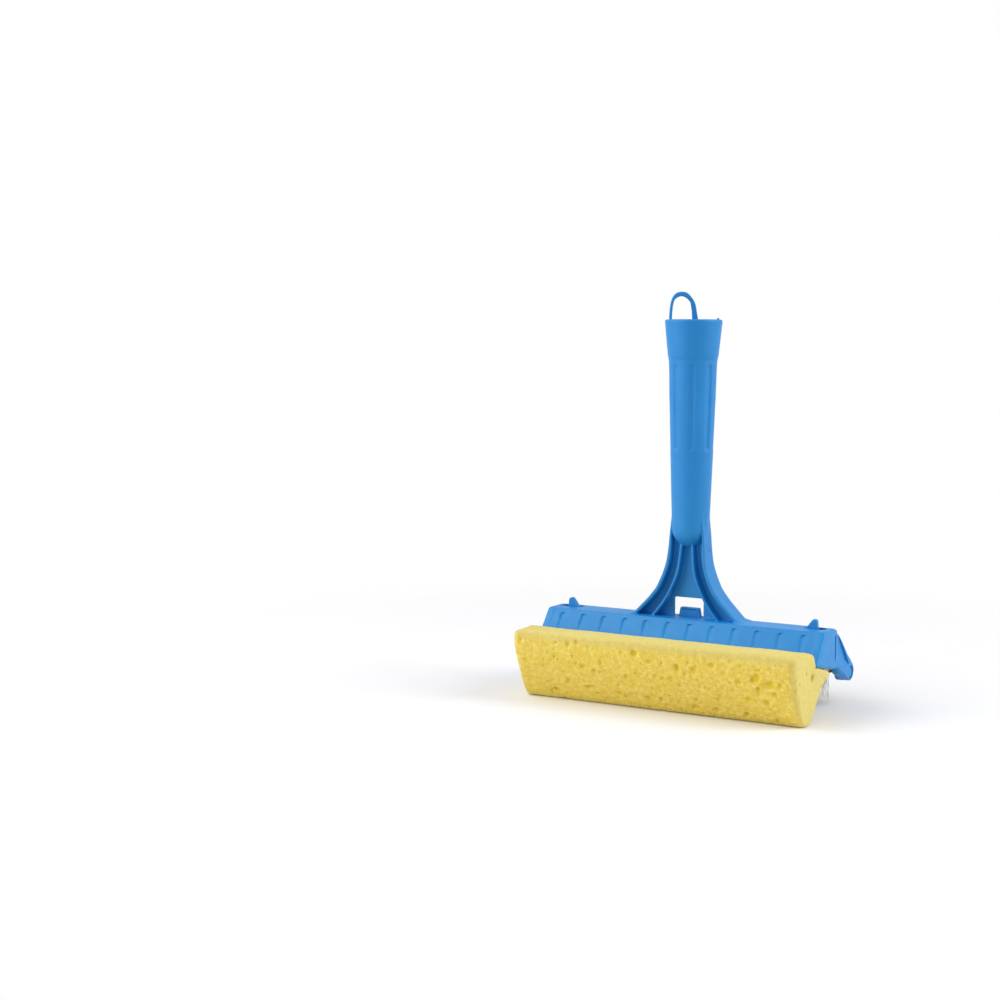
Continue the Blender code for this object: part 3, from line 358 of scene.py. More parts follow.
def new_piece(name, points, faces, finish, body, slot, replaced, normals=None, marks=None):
    """A mesh piece in metres, which rides on its body and stands for CAD nodes."""
    mesh = bpy.data.meshes.new(name)
    mesh.from_pydata(placed(points), [], [face for group in faces for face in np.asarray(group).tolist()])
    mesh.shade_smooth()
    mesh.materials.append(finish)
    for mark, values in (marks or {}).items():
        mesh.attributes.new(mark, "FLOAT", "POINT").data.foreach_set("value", values.astype(np.float32))
    if normals is not None:
        mesh.normals_split_custom_set_from_vertices(normals)
    shape = bpy.data.objects.new(name, mesh)
    bpy.context.scene.collection.objects.link(shape)
    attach(shape, body)
    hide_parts(*replaced)
    return shape


def outward(points, triangles, quads):
    """Faces turned so that they face outwards."""
    halves = np.concatenate([triangles, quads[:, :3], quads[:, [0, 2, 3]]]).astype(int)
    a, b, c = (points[halves[:, i]] for i in range(3))
    if np.einsum("ij,ij->i", a, np.cross(b, c)).sum() < 0:
        return triangles[:, ::-1], quads[:, ::-1]
    return triangles, quads


def moulded_piece(name, field, boxes, grain, merging, *rest):
    """A piece whose surface lies exactly on its field."""
    blocks = [sampled(field, low, high, grain) for low, high in boxes]
    points, triangles, quads = skin(blocks, grain, merging)
    faces = outward(points, triangles, quads)
    normals = np.empty_like(points)
    for low, high in zip(BANDS, BANDS[1:]):
        band = (points[:, 2] >= low) & (points[:, 2] < high)
        if band.any():
            points[band], normals[band] = settled(field, points[band].astype(np.float32), grain)
    print(name, len(triangles) + 2 * len(quads), "triangles")
    return new_piece(name, points, faces, *rest, normals=normals)


# Handle and head

MOUTH = (CHANNEL[3] - CHANNEL[0]).normalized()
MOUTH_UP = Vector((-MOUTH.y, MOUTH.x))
CHANNEL_INSIDE = clipped(beside(CHANNEL, WALL), CHANNEL[0], MOUTH)
CHANNEL_WALLS = rounded([(p.x, p.y, r) for p, r in zip(CHANNEL + CHANNEL_INSIDE[::-1], CHANNEL_RADII)])


def plate_outline(underside):
    """End plate with its bearing arm, from the corners of the arm's underside."""
    foot, front, rear = beside(CHANNEL, -SEAM)[:3]
    high = tangent_angle(rear, BRUSH, BOSS_RADIUS, -1)
    low = tangent_angle(Vector(underside[-1][:2]), BRUSH, BOSS_RADIUS, 1)
    foot = CHANNEL[0] - MOUTH_UP * SEAM
    heel = meet(foot, MOUTH, Vector((CHANNEL[3].x - WALL, 0)), Vector((0, 1)))
    turn = (low - tau if low > high else low) - high
    boss = []
    for step in range(BOSS_STEPS + 1):
        angle = high + turn * step / BOSS_STEPS
        radius = BOSS_RADIUS - BOSS_FLAT * max(-sin(angle), 0)
        boss.append(BRUSH + Vector((cos(angle), sin(angle))) * radius)
    corners = [(*foot, PLATE_FOOT_RADIUS), (*front, PLATE_FRONT_RADIUS), (*rear, PLATE_REAR_RADIUS)]
    corners += [(*p, 0) for p in boss] + list(underside[::-1])
    return rounded(corners + [(*heel, PLATE_HEEL_RADIUS)])


def pocket_outline():
    """Recess inside the plate's slanting rim, down to the boss."""
    way = (BRUSH - CHANNEL[2]).normalized()
    rim = CHANNEL[2] + Vector((way.y, -way.x)) * (POCKET_RIM - BOSS_RADIUS / 2)
    top_front = Vector((POCKET_FRONT, TOP - POCKET_RIM))
    top = meet(top_front, Vector((1, 0)), rim, way)
    reach = meet(rim, way, Vector((0, POCKET_TIP_HEIGHT)), Vector((1, 0)))
    return rounded([(POCKET_FRONT, POCKET_FOOT, POCKET_CORNER), (*top_front, POCKET_CORNER),
                    (*top, SOFT_EDGE), (*reach, POCKET_CORNER), POCKET_HEEL,
                    (POCKET_TOE, POCKET_FOOT, POCKET_TOE_RADIUS)])


def neck_curve(shares, top, foot_spread, top_spread):
    """Side of a flange or rib, from the head up."""
    return smooth_run([Vector((top_spread + (foot_spread - top_spread) * spread,
                               NECK_FOOT + (top - NECK_FOOT) * height)) for height, spread in shares])


PLATE_OUTER, PLATE_INNER, POCKET = plate_outline(ARM_OUTER), plate_outline(ARM_INNER), pocket_outline()
FLANGE_CURVE = neck_curve(FLANGE_SHARES, FLANGE_TOP, FLANGE_FOOT_SPREAD, FLANGE_TOP_SPREAD)
RIB_CURVE = neck_curve(RIB_SHARES, RIB_TOP, RIB_FOOT_SPREAD, RIB_TOP_SPREAD)
FLANGE_RUN = FLANGE_CURVE + [FLANGE_TAIL]
FLANGE_INSIDE = [inner.lerp(outer, float(np.interp(outer.y, TAPER_FROM_TO, (0, FLANGE_TAPER))))
                 for outer, inner in zip(FLANGE_RUN, beside(FLANGE_RUN, -FLANGE_THICKNESS))]
FLANGE = FLANGE_RUN + FLANGE_INSIDE[::-1]
RIB = beside(RIB_CURVE, RIB_THICKNESS / 2) + beside(RIB_CURVE, -RIB_THICKNESS / 2)[::-1]
WEB_EDGE = beside(FLANGE_CURVE, -FLANGE_THICKNESS / 2)
WEB = WEB_EDGE + mirrored(WEB_EDGE)[::-1]
FRONT_WAY = (CHANNEL[1] - CHANNEL[0]).normalized()
REAR_WAY = (CHANNEL[2] - CHANNEL[3]).normalized()


def wall_place(y, z, foot, way, out):
    """How far up a wall, and how far out of it."""
    return (y - foot.x) * way.x + (z - foot.y) * way.y, (y - foot.x) * out.x + (z - foot.y) * out.y


def channel_field(x, y, z):
    """Channel's three walls, whose rear edge grows rounder near the ends, to meet the plates."""
    side = np.abs(x)
    shape = overlap(outline_field(CHANNEL_WALLS, y, z), side - INNER_HALF - CHANNEL_SUNK)
    out = wall_place(y, z, CHANNEL[3], REAR_WAY, Vector((REAR_WAY.y, -REAR_WAY.x)))[1]
    return np.maximum(shape, overlap(z - TOP, out, np.interp(side, REAR_EDGE_FROM_TO, REAR_EDGE_RADII)))


def end_plate_field(x, y, z):
    """End plates with their bearing arms, before anything is cut from them."""
    side = np.abs(x)
    from_brush = np.hypot(y - BRUSH.x, z - BRUSH.y)
    inward = np.clip((HALF_LENGTH - side) / (HALF_LENGTH - INNER_HALF), 0, 1)
    profile = outline_field(PLATE_OUTER, y, z) * (1 - inward) + outline_field(PLATE_INNER, y, z) * inward
    edge = np.interp(from_brush, PLATE_EDGE_REACH, PLATE_EDGE_RADII)
    return overlap(overlap(profile, side - HALF_LENGTH, edge), INNER_HALF - side, SOFT_EDGE)


def with_bearings(shape, x, y, z):
    """Seats for the brush's ferrules and journals cut into the bosses."""
    side = np.abs(x)
    from_brush = np.hypot(y - BRUSH.x, z - BRUSH.y)
    seat = overlap(from_brush - BOSS_RADIUS - CLEARANCE, side - HALF_LENGTH + BOSS_LENGTH)
    shape = cut(cut(shape, seat, EDGE), from_brush - JOURNAL_RADIUS - CLEARANCE, EDGE)
    return cut(shape, overlap(from_brush - RECESS_RADIUS, HALF_LENGTH - RECESS_DEPTH - side), FINE_EDGE)


def pocket_field(x, y, z):
    """Recess in each plate's outer face, with a narrow score along its front."""
    side = np.abs(x)
    depth = np.interp(y, (SCORE_REAR, POCKET_FULL_DEPTH_REAR), (0, POCKET_DEPTH))
    depth = depth * np.interp(z, POCKET_FADE, (0, 1))
    pocket = overlap(outline_field(POCKET, y, z), HALF_LENGTH - depth - side, FINE_EDGE)
    score = overlap(between(y, SCORE_FRONT, SCORE_REAR), between(z, SCORE_FOOT, SCORE_HEAD), SOFT_EDGE)
    return np.minimum(pocket, overlap(score, HALF_LENGTH - SCORE_DEPTH - side, EDGE))


def grooves_field(x, y, z):
    """Row of sunken grooves in the front wall, widest and deepest at their round tops."""
    up, out = wall_place(y, z, CHANNEL[0], FRONT_WAY, Vector((-FRONT_WAY.y, FRONT_WAY.x)))
    column = np.clip(np.floor(x / GROOVE_PITCH), -GROOVES_EACH_SIDE, GROOVES_EACH_SIDE - 1) + 0.5
    length = (CHANNEL[1] - CHANNEL[0]).length - GROOVE_MARGIN - GROOVE_WIDTH / 2
    across = x - column * GROOVE_PITCH
    width = np.interp(up, (0, length), (GROOVE_FOOT_WIDTH, GROOVE_WIDTH))
    groove = np.hypot(across, np.maximum(up - length, 0)) - width / 2
    slant = np.clip(0.5 - across / width, 0, 1) * np.clip((across + width / 2) / GROOVE_FLANK, 0, 1)
    depth = np.interp(up, (GROOVE_RISE, length), (GROOVE_FOOT_DEPTH, GROOVE_HEAD_DEPTH)) * slant
    return overlap(groove, -depth - out, EDGE)


def panel_field(x, y, z):
    """Sunken panel in the rear wall."""
    up, out = wall_place(y, z, CHANNEL[3], REAR_WAY, Vector((REAR_WAY.y, -REAR_WAY.x)))
    high = (CHANNEL[2] - CHANNEL[3]).length - PANEL_TOP
    panel = overlap(np.abs(x) - PANEL_HALF, between(up, PANEL_FOOT, high), PANEL_CORNER)
    return overlap(panel, -PANEL_DEPTH - out, EDGE)


def slots_field(x, y, z):
    """Slots in the head's top for the carrier's pegs and tongue."""
    side = np.abs(x)
    peg_slot = overlap(between(side, PEG_INNER - CLEARANCE, PEG_SLOT_OUTER),
                       between(y, PEG_SLOT_FRONT, PEG_SLOT_REAR), PEG_SLOT_CORNER)
    tongue_slot = overlap(side - TONGUE_HALF - CLEARANCE,
                          np.abs(y - TONGUE_MIDDLE) - TONGUE_THICKNESS / 2 - CLEARANCE, EDGE)
    return overlap(np.minimum(peg_slot, tongue_slot), between(z, TOP - WALL - OVERRUN, TOP + OVERRUN))


def head_field(x, y, z):
    """Channel, end plates and arms, with their grooves, panel and slots."""
    shape = union(channel_field(x, y, z), end_plate_field(x, y, z), SOFT_EDGE)
    shape = with_bearings(shape, x, y, z)
    shape = cut(shape, pocket_field(x, y, z), EDGE)
    shape = cut(shape, grooves_field(x, y, z), GROOVE_EDGE)
    shape = cut(shape, panel_field(x, y, z), EDGE)
    return cut(shape, slots_field(x, y, z), SLOT_EDGE)


def handle_field(x, y, z):
    """Handle outside, without its bore."""
    radius = np.hypot(x, y)
    grip = overlap(radius - np.interp(z, *zip(*OUTSIDE)), z - RIM_HEIGHT, RIM_ROUND)
    nose = np.sqrt(radius ** 2 + (z - NOSE_HEIGHT) ** 2) - NOSE_RADIUS
    shape = np.where(z > NOSE_HEIGHT, grip, nose)
    turn = np.mod(np.arctan2(y, x), tau / FLUTES) - pi / FLUTES
    cutter = (FLUTE_WIDTH ** 2 / 4 + FLUTE_DEPTH ** 2) / (2 * FLUTE_DEPTH)
    foot, head = (Vector((np.interp(height, *zip(*OUTSIDE)) + cutter - FLUTE_DEPTH, height))
                  for height in (FLUTE_FOOT, FLUTE_HEAD))
    flutes = capsule(radius * np.cos(turn), radius * np.sin(turn), z, foot, head, cutter)
    nub = overlap(np.abs(x - NUB_PLACE) - NUB_HALF_ACROSS, np.abs(y) - NUB_HALF_ALONG, NUB_CORNER)
    nub = overlap(nub, between(z, RIM_HEIGHT - NUB_ROOT, RIM_HEIGHT + NUB_HEIGHT), EDGE)
    return union(cut(shape, flutes, EDGE), nub, EDGE)


def neck_field(x, y, z):
    """Flanges, inner ribs and the web with its window."""
    side = np.abs(x)
    web = overlap(outline_field(WEB, x, z), np.abs(y) - WEB_THICKNESS / 2)
    window = overlap(side - WINDOW_HALF, between(z, WINDOW_FOOT, WINDOW_TOP), WINDOW_CORNER)
    web = cut(web, window, WINDOW_EDGE)
    heights = (NECK_DEEP, NECK_SLIM)
    reach = between(y, -np.interp(z, heights, FLANGE_FRONT), np.interp(z, heights, FLANGE_REAR))
    flange = overlap(outline_field(FLANGE, side, z), reach, FLANGE_EDGE)
    pit = np.sqrt((x - PIT[0]) ** 2 + (y - PIT[1]) ** 2 + ((z - PIT[2]) * PIT_STRETCH) ** 2) - PIT_RADIUS
    flange = cut(flange, pit, FINE_EDGE)
    reach = between(y, -np.interp(z, heights, RIB_FRONT), np.interp(z, heights, RIB_REAR))
    rib = overlap(outline_field(RIB, side, z), reach, RIB_EDGE)
    shape = union(union(web, rib, RIB_FILLET), flange, FLANGE_FILLET)
    return overlap(shape, NECK_CUT - z)


def moulding(x, y, z):
    """The whole moulding, without the parts that lie well above or below the heights asked for."""
    shape = np.full(np.broadcast(x, y, z).shape, FAR_AWAY, np.float32)
    if z.max() > HANDLE_FROM:
        shape = handle_field(x, y, z)
    if z.min() < NECK_TO and z.max() > NECK_FROM:
        shape = union(shape, neck_field(x, y, z), NECK_FILLET)
    if z.max() > HANDLE_FROM:
        bore = overlap(np.hypot(x, y) - np.interp(z, *zip(*BORE)), NOSE_HEIGHT - z, BORE_CORNER)
        shape = cut(shape, bore, MOUTH_EDGE)
    if z.min() < HEAD_TO:
        shape = union(shape, head_field(x, y, z), np.interp(np.abs(x), FOOT_FROM_TO, FOOT_FILLETS))
    return shape


# Sponge carrier

CARRIER_INSIDE = beside(CHANNEL, WALL + CLEARANCE)
CARRIER_LOW = clipped(CARRIER_INSIDE, CHANNEL[0], MOUTH)
CARRIER_HIGH = clipped(CARRIER_INSIDE, CHANNEL[0] + MOUTH_UP * CARRIER_THICKNESS, MOUTH)
CARRIER_PLATE = [CARRIER_LOW[0], CARRIER_HIGH[0], CARRIER_HIGH[-1], CARRIER_LOW[-1]]
PEG = rounded([(PEG_INNER, PEG_ROOT, 0), (PEG_OUTER, PEG_ROOT, 0), (PEG_OUTER, TOP, PEG_OUTER_RADIUS),
               *PEG_TIP, (PEG_BARB, TOP, PEG_INNER_RADIUS), (PEG_INNER, TOP - PEG_NOTCH, PEG_INNER_RADIUS)])
TONGUE_SIDE = [(TONGUE_HALF, TONGUE_ROOT, 0), (TONGUE_HALF, TOP, TONGUE_SHOULDER_RADIUS),
               (TONGUE_HALF - TONGUE_LEAN, TONGUE_TOP, TONGUE_TIP_RADIUS)]
TONGUE = rounded(TONGUE_SIDE + [(-across, up, radius) for across, up, radius in TONGUE_SIDE[::-1]])


def carrier_field(x, y, z):
    """Plate across the channel's mouth, two snap pegs and the middle tongue."""
    side = np.abs(x)
    shape = overlap(outline_field(CARRIER_PLATE, y, z), side - INNER_HALF + CLEARANCE, EDGE)
    peg = overlap(outline_field(PEG, side, z), np.abs(y + PEG_FRONT) - PEG_DEPTH / 2, SOFT_EDGE)
    from_middle = y - TONGUE_MIDDLE
    tongue = overlap(outline_field(TONGUE, x, z), np.abs(from_middle) - TONGUE_THICKNESS / 2, TONGUE_EDGE)
    inset = overlap(side - TONGUE_HALF + INSET_SIDE_MARGIN,
                    between(z, TOP - INSET_DROP, TONGUE_TOP - INSET_TOP_MARGIN), SOFT_EDGE)
    inset = overlap(inset, from_middle + TONGUE_THICKNESS / 2 - INSET_DEPTH, FINE_EDGE)
    arms = np.minimum(peg, cut(tongue, inset, FINE_EDGE))
    above = MOUTH_UP.x * (y - CHANNEL[0].x) + MOUTH_UP.y * (z - CHANNEL[0].y) - CARRIER_THICKNESS / 2
    return union(shape, overlap(arms, -above), ARM_ROOT_FILLET)


# Hanging plug

def loop_side(shares):
    """Outer or inner side of the loop, from its left foot to its right one."""
    return smooth_run([Vector((LOOP_LEFT + LOOP_SPREAD * across, RIM_HEIGHT + LOOP_HEIGHT * up))
                       for across, up in shares], LOOP_STEPS)


def loop_outline():
    """The loop's two sides, with its feet sunk into the disc."""
    outer, inner = loop_side(LOOP_OUTER), loop_side(LOOP_INNER)
    sunk = PLUG_TOP - PLUG_DISC / 2
    feet = [Vector((p.x, sunk)) for p in (inner[0], outer[0], outer[-1], inner[-1])]
    return feet[:2] + outer + feet[2:] + inner[::-1]


LOOP = loop_outline()


def plug_field(x, y, z):
    """Disc and skirt in the handle's mouth, with the hanging loop."""
    radius = np.hypot(x, y)
    body = overlap(radius - np.interp(z, *zip(*BORE)) + CLEARANCE,
                   between(z, PLUG_FOOT, PLUG_TOP), PLUG_EDGE)
    inner = np.interp(PLUG_FOOT, *zip(*BORE)) - CLEARANCE - PLUG_WALL
    body = cut(body, overlap(radius - inner, z - PLUG_TOP + PLUG_DISC, PLUG_CORNER), EDGE)
    across = x * cos(LOOP_YAW) + y * sin(LOOP_YAW)
    depth = y * cos(LOOP_YAW) - x * sin(LOOP_YAW)
    loop = overlap(outline_field(LOOP, across, z), np.abs(depth) - LOOP_DEPTH / 2, LOOP_EDGE)
    return union(body, loop, LOOP_FILLET)


# Sponge

SPONGE, SPONGE_END = rounded(SPONGE_SECTION), rounded(SPONGE_END_SECTION)
SEED = 6830
chance = np.random.default_rng(SEED)
SWELLS = [(chance.uniform(*SWELL_RATES, 3), chance.uniform(0, tau)) for _ in range(SWELL_COUNT)]


def foam_body(x, y, z):
    """The cut bar, a little uneven all over, standing flat on the floor."""
    side = np.abs(x)
    ending = np.interp(side, ENDING_FROM_TO, (0, 1))
    profile = outline_field(SPONGE, y, z) * (1 - ending) + outline_field(SPONGE_END, y, z) * ending
    off_y, off_z = (y - BULGE_PLACE[0]) / BULGE_SPREAD[0], (z - BULGE_PLACE[1]) / BULGE_SPREAD[1]
    end = side - SPONGE_HALF - BULGE * np.exp(-off_y ** 2 - off_z ** 2)
    shape = overlap(profile, end, np.interp(y, END_EDGE_FROM_TO, END_EDGE_RADII))
    for rates, start in SWELLS:
        wave = rates[0] * x + (rates[1] * y + rates[2] * z) * SWELL_CROSSWISE + start
        shape = shape + SWELL_HEIGHT * np.sin(wave)
    return overlap(shape, -z, FLOOR_EDGE)


def face_place(x, z):
    """Place on the sponge's front face at a height."""
    heights, fronts = zip(*sorted((p.y, p.x) for p in SPONGE if p.x < FRONT_CORNERS_REAR))
    return np.array((x, np.interp(z, heights, fronts), z))


def more_to_the_right(x, y, z):
    """Chance that a pore is kept: few on the top and ends, and on the front more to the right."""
    rightward = LEFT_SHARE + (1 - LEFT_SHARE) * np.clip((x - LEFT_FROM) / LEFT_TO_RIGHT, 0, 1)
    kept = np.where(z > CALM_TOP, CALM_TOP_SHARE, rightward)
    return kept * np.where(np.abs(x) > CALM_END, CALM_END_SHARE, 1)


def scattered_pores(count, smallest, largest, lean):
    """Places and radii of pores near the surface."""
    tries = count * TRIES_PER_PORE
    places = chance.uniform(PORE_LOW, PORE_HIGH, (tries, 3))
    radii = smallest + (largest - smallest) * chance.random(tries) ** lean
    shapes = radii[:, None] * chance.uniform(*PORE_SHAPES, (tries, 3))
    near = np.abs(foam_body(*places.T)) < radii * PORE_NEARNESS
    near &= chance.random(tries) < more_to_the_right(*places.T)
    near = np.flatnonzero(near)[:count]
    return list(zip(places[near], shapes[near]))


def bitten(first, values, grain, pores, rim):
    """Sampled foam with its pores cut out."""
    for place, radii in pores:
        reach = radii + 2 * rim + grain
        low = np.maximum(np.floor((place - reach) / grain).astype(int) - first, 0)
        high = np.minimum(np.ceil((place + reach) / grain).astype(int) - first, values.shape)
        if (high <= low).any():
            continue
        part = values[low[0]:high[0], low[1]:high[1], low[2]:high[2]]
        across, along, up = [((np.arange(a, b) + f) * grain - c) / r
                             for a, b, f, c, r in zip(low, high, first, place, radii)]
        size = np.sqrt(across[:, None, None] ** 2 + along[None, :, None] ** 2 + up[None, None, :] ** 2)
        part[:] = cut(part, (size - 1) * radii.min(), rim)
    return values


def grainy(values, height):
    """Sampled foam with the fine unevenness of its open cells."""
    cells = chance.normal(size=values.shape).astype(np.float32)
    for axis in range(3):
        cells = (np.roll(cells, 1, axis) + 2 * cells + np.roll(cells, -1, axis)) / 4
    return values + cells * (height / cells.std())


SPONGE_BOX = (-101, -68, -2), (101, 6, 50)
SPONGE_MERGING = 0.004
# Large pores of the front face: (along, up, half width, half height)
LARGE_PORES = (
    (20.3, 32.7, 1.4, 2.3), (31.3, 32.5, 1.5, 2.0), (43.9, 37.2, 1.9, 1.5), (73.3, 31.9, 1.9, 2.6),
    (82.1, 28.3, 2.2, 2.4), (61.0, 27.8, 1.8, 1.8), (84.2, 21.7, 1.3, 1.9), (66.0, 16.5, 2.0, 1.7),
    (77.6, 15.2, 1.6, 2.2), (41.6, 6.0, 1.7, 1.4), (28.0, 6.4, 2.0, 1.5), (4.9, 25.6, 1.0, 1.2),
    (-9.3, 39.5, 1.8, 1.9), (-17.3, 22.2, 1.0, 1.9), (-47.3, 26.7, 1.6, 1.1), (-57.0, 40.8, 1.2, 1.6),
    (-33.6, 31.0, 0.8, 1.1), (9.5, 24.7, 1.1, 1.2), (-39.2, 24.1, 0.8, 1.3), (-61.9, 13.1, 0.9, 1.4),
    (-24.7, 10.1, 1.3, 1.1), (-44.4, 12.2, 1.3, 1.0), (1.2, 35.4, 1.2, 1.0), (52.0, 33.0, 1.0, 1.1))


def large_pore(along, up, wide, tall):
    """Place and radii of a pore on the front face, as deep as it is wide and tall on average."""
    depth = (wide + tall) * LARGE_PORE_DEPTH_SHARE
    radii = np.array((wide * LARGE_PORE_STRETCH, depth, tall * LARGE_PORE_STRETCH))
    return face_place(along, up) + (0, LARGE_PORE_SINK, 0), radii


def build_sponge(grain, finish):
    """The foam bar with its grain and pores."""
    first, values = sampled(foam_body, *SPONGE_BOX, grain)
    values = grainy(np.array(values), GRAIN_HEIGHT)
    values = bitten(first, values, grain, [large_pore(*pore) for pore in LARGE_PORES], LARGE_PORE_RIM)
    for *pores, rim in SCATTERED_PORES:
        values = bitten(first, values, grain, scattered_pores(*pores), rim)
    points, triangles, quads = skin([(first, values)], grain, SPONGE_MERGING)
    points[:, 2] = np.maximum(points[:, 2], 0)
    faces = outward(points, triangles, quads)
    print("sponge", len(triangles) + 2 * len(quads), "triangles")
    # How far each point lies below the bar's surface, which the foam's colour turns into painted shade
    # inside the pores
    depth = np.maximum(-foam_body(*points.astype(np.float32).T), 0)
    # Painted light: a mask for the top and the ends, where the foam's colour turns paler and greyer for how
    # the light falls on them
    painted_light_end = (np.abs(points[:, 0]) - PAINTED_LIGHT_END) / PAINTED_LIGHT_END_WIDTH
    painted_light_top = (points[:, 2] - PAINTED_LIGHT_TOP) / PAINTED_LIGHT_TOP_WIDTH
    sponge = new_piece("open_cell_sponge", points, faces, finish, "sponge_unit", "foam", ["sponge"],
                       marks={"depth_mm": depth, "closed": np.maximum(painted_light_end, painted_light_top).clip(0, 1)})


# Roller brush

def rings(paths, radii, sides):
    """Tubes along paths: points and faces of (tube, station, side) rings, with closed ends."""
    tubes, stations = paths.shape[:2]
    along = np.gradient(paths, axis=1)
    along /= np.linalg.norm(along, axis=2)[..., None]
    aside = np.cross(along, along[:, :1] * 0 + chance.normal(size=(tubes, 1, 3)))
    aside /= np.linalg.norm(aside, axis=2)[..., None]
    third = np.cross(along, aside)
    turn = tau * np.arange(sides) / sides
    spread = aside[:, :, None] * np.cos(turn)[:, None] + third[:, :, None] * np.sin(turn)[:, None]
    points = paths[:, :, None] + spread * radii[:, :, None, None]
    index = np.arange(tubes * stations * sides).reshape(tubes, stations, sides)
    near, far = index[:, :-1], index[:, 1:]
    walls = np.stack([near, np.roll(near, -1, 2), np.roll(far, -1, 2), far], axis=-1).reshape(-1, 4)
    caps = np.concatenate([index[:, 0, ::-1], index[:, -1]])
    return points.reshape(-1, 3), [walls, caps]


def round_brush(x, radius, angle):
    """Places round the brush's axis."""
    return np.stack([x, BRUSH.x + radius * np.cos(angle), BRUSH.y + radius * np.sin(angle)], axis=-1)


FILAMENTS = 3500  # each is bent double in the stem, so it has two ends
FILAMENT_RADIUS, FILAMENT_SIDES = 0.12, 3
STATIONS = (0.0, 0.5, 1.0)  # a filament's root, middle and tip
STATION_SHARES = (1.0, 0.95, 1.05)  # of its thickness
THICKNESSES = (0.85, 1.15)  # thinnest and thickest filament
BRISTLED_HALF, TIPS_HALF = 87.5, 92.5
CROWDING = 1.25  # filaments crowd towards the middle of their tuft
ROOT_REACH, ANGLE_JITTER, FLARE_JITTER = 0.5, 0.12, 0.12
# On the wall's side, and on the open side
ROOT_SPREAD, TIP_SPREAD, TIP_JITTER, FAN_JITTER = (0.3, 0.45), (0.6, 1.3), (0.3, 1.3), (0.1, 0.3)
STRAY_SHARE, STRAY_ASIDE, STRAY_SHORTER = 0.07, (2.5, 6), 3
LEAST_SHORTER, LENGTH_JITTER, BOW = 0.1, 0.45, 0.5
THINNING_MARGIN, THINNING_LENGTH, THINNEST = 1, 9, 0.06  # tufts thin out towards the stem's ends


def build_bristles(finish):
    """Filaments in tufts at each half turn of the stem, close on one side and loose on the other."""
    half_pitch = TWIST_PITCH / 2
    stations = int(BRISTLED_HALF / half_pitch)
    station = chance.integers(-stations, stations + 1, FILAMENTS) * half_pitch
    offset = chance.uniform(-1, 1, FILAMENTS)
    offset = np.sign(offset) * np.abs(offset) ** CROWDING * half_pitch / 2
    paths = []
    for facing in (0.0, pi):
        angle = tau * (station + offset) / TWIST_PITCH + facing + chance.normal(0, ANGLE_JITTER, FILAMENTS)
        towards_wall = np.cos(angle) < 0
        # Roots are pinched between the wires, tips spread, and strays cross to the next tuft
        flare = np.where(towards_wall, *TIP_SPREAD) + chance.normal(0, FLARE_JITTER, FILAMENTS)
        tip = station + offset * flare + chance.normal(0, np.where(towards_wall, *TIP_JITTER))
        stray = chance.random(FILAMENTS) < STRAY_SHARE
        aside = chance.choice((-1, 1), FILAMENTS) * chance.uniform(*STRAY_ASIDE, FILAMENTS)
        tip = np.clip(np.where(stray, tip + aside, tip), -TIPS_HALF, TIPS_HALF)
        root = station + offset * np.where(towards_wall, *ROOT_SPREAD)
        root = np.clip(root, -BRISTLED_HALF, BRISTLED_HALF)
        fans = [chance.normal(0, jitter, FILAMENTS) for jitter in FAN_JITTER]
        tip_angle = angle + np.where(towards_wall, *fans)
        length = REACH - LEAST_SHORTER - np.abs(chance.normal(0, LENGTH_JITTER, FILAMENTS))
        length = length - stray * chance.uniform(0, STRAY_SHORTER, FILAMENTS)
        bow = chance.normal(0, BOW, FILAMENTS)
        places = []
        for share, bent in zip(STATIONS, (0, bow, 0)):
            x = root + (tip - root) * share + bent
            reach = ROOT_REACH + (length - ROOT_REACH) * share
            places.append(round_brush(x, reach, angle + (tip_angle - angle) * share))
        paths.append(np.stack(places, axis=1))
    paths = np.concatenate(paths)
    from_end = BRISTLED_HALF - THINNING_MARGIN - np.abs(paths[:, 0, 0])
    paths = paths[chance.random(len(paths)) < np.clip(from_end / THINNING_LENGTH, THINNEST, 1)]
    count = len(paths)
    radii = FILAMENT_RADIUS * np.array(STATION_SHARES) * chance.uniform(*THICKNESSES, (count, 1))
    points, faces = rings(paths, radii, FILAMENT_SIDES)
    along = np.tile(np.repeat(STATIONS, FILAMENT_SIDES), count)
    strand = np.repeat(chance.random(count), len(STATIONS) * FILAMENT_SIDES)
    print("bristles", sum(len(f) * (len(f[0]) - 2) for f in faces), "triangles")
    new_piece("nylon_filaments", points, faces, finish, "brush", "filament", ["bristles"],
              marks={"along": along, "strand": strand})


WIRE_STEPS_PER_TURN, WIRE_SIDES = 20, 12


def build_wires(finish):
    """The stem's two wires, twisted round each other."""
    turns = 2 * WIRE_END / TWIST_PITCH
    x = np.linspace(-WIRE_END, WIRE_END, int(turns * WIRE_STEPS_PER_TURN))
    for name, node, lead in (("twisted_wire_a", "stem_wire_a", pi / 2),
                             ("twisted_wire_b", "stem_wire_b", -pi / 2)):
        path = round_brush(x, WIRE_OFFSET + 0 * x, tau * x / TWIST_PITCH + lead)
        points, faces = rings(path[None], np.full((1, len(x)), WIRE_RADIUS), WIRE_SIDES)
        new_piece(name, points, faces, finish, "brush", "wire", [node])


def ferrule_field(side):
    """Round end of the stem with its journal, on one side of the head."""
    def field(x, y, z):
        along = x * side
        reach = np.hypot(y - BRUSH.x, z - BRUSH.y)
        end = FERRULE_INNER + FERRULE_LENGTH
        disc = overlap(reach - FERRULE_RADIUS, between(along, FERRULE_INNER, end), FERRULE_EDGE)
        length = between(along, end - JOURNAL_ROOT, end + CLEARANCE + JOURNAL_LENGTH)
        snapped_head = overlap(reach - SNAP_RADIUS, between(along, SNAP_INNER, SNAP_OUTER), EDGE)
        journal = union(overlap(reach - JOURNAL_RADIUS, length), snapped_head)
        hole = overlap(reach - WIRE_OFFSET - WIRE_RADIUS - CLEARANCE,
                       along - FERRULE_INNER - WIRE_HOLE_DEPTH)
        return cut(union(disc, journal, EDGE), hole, WIRE_HOLE_EDGE)
    return field


# Materials

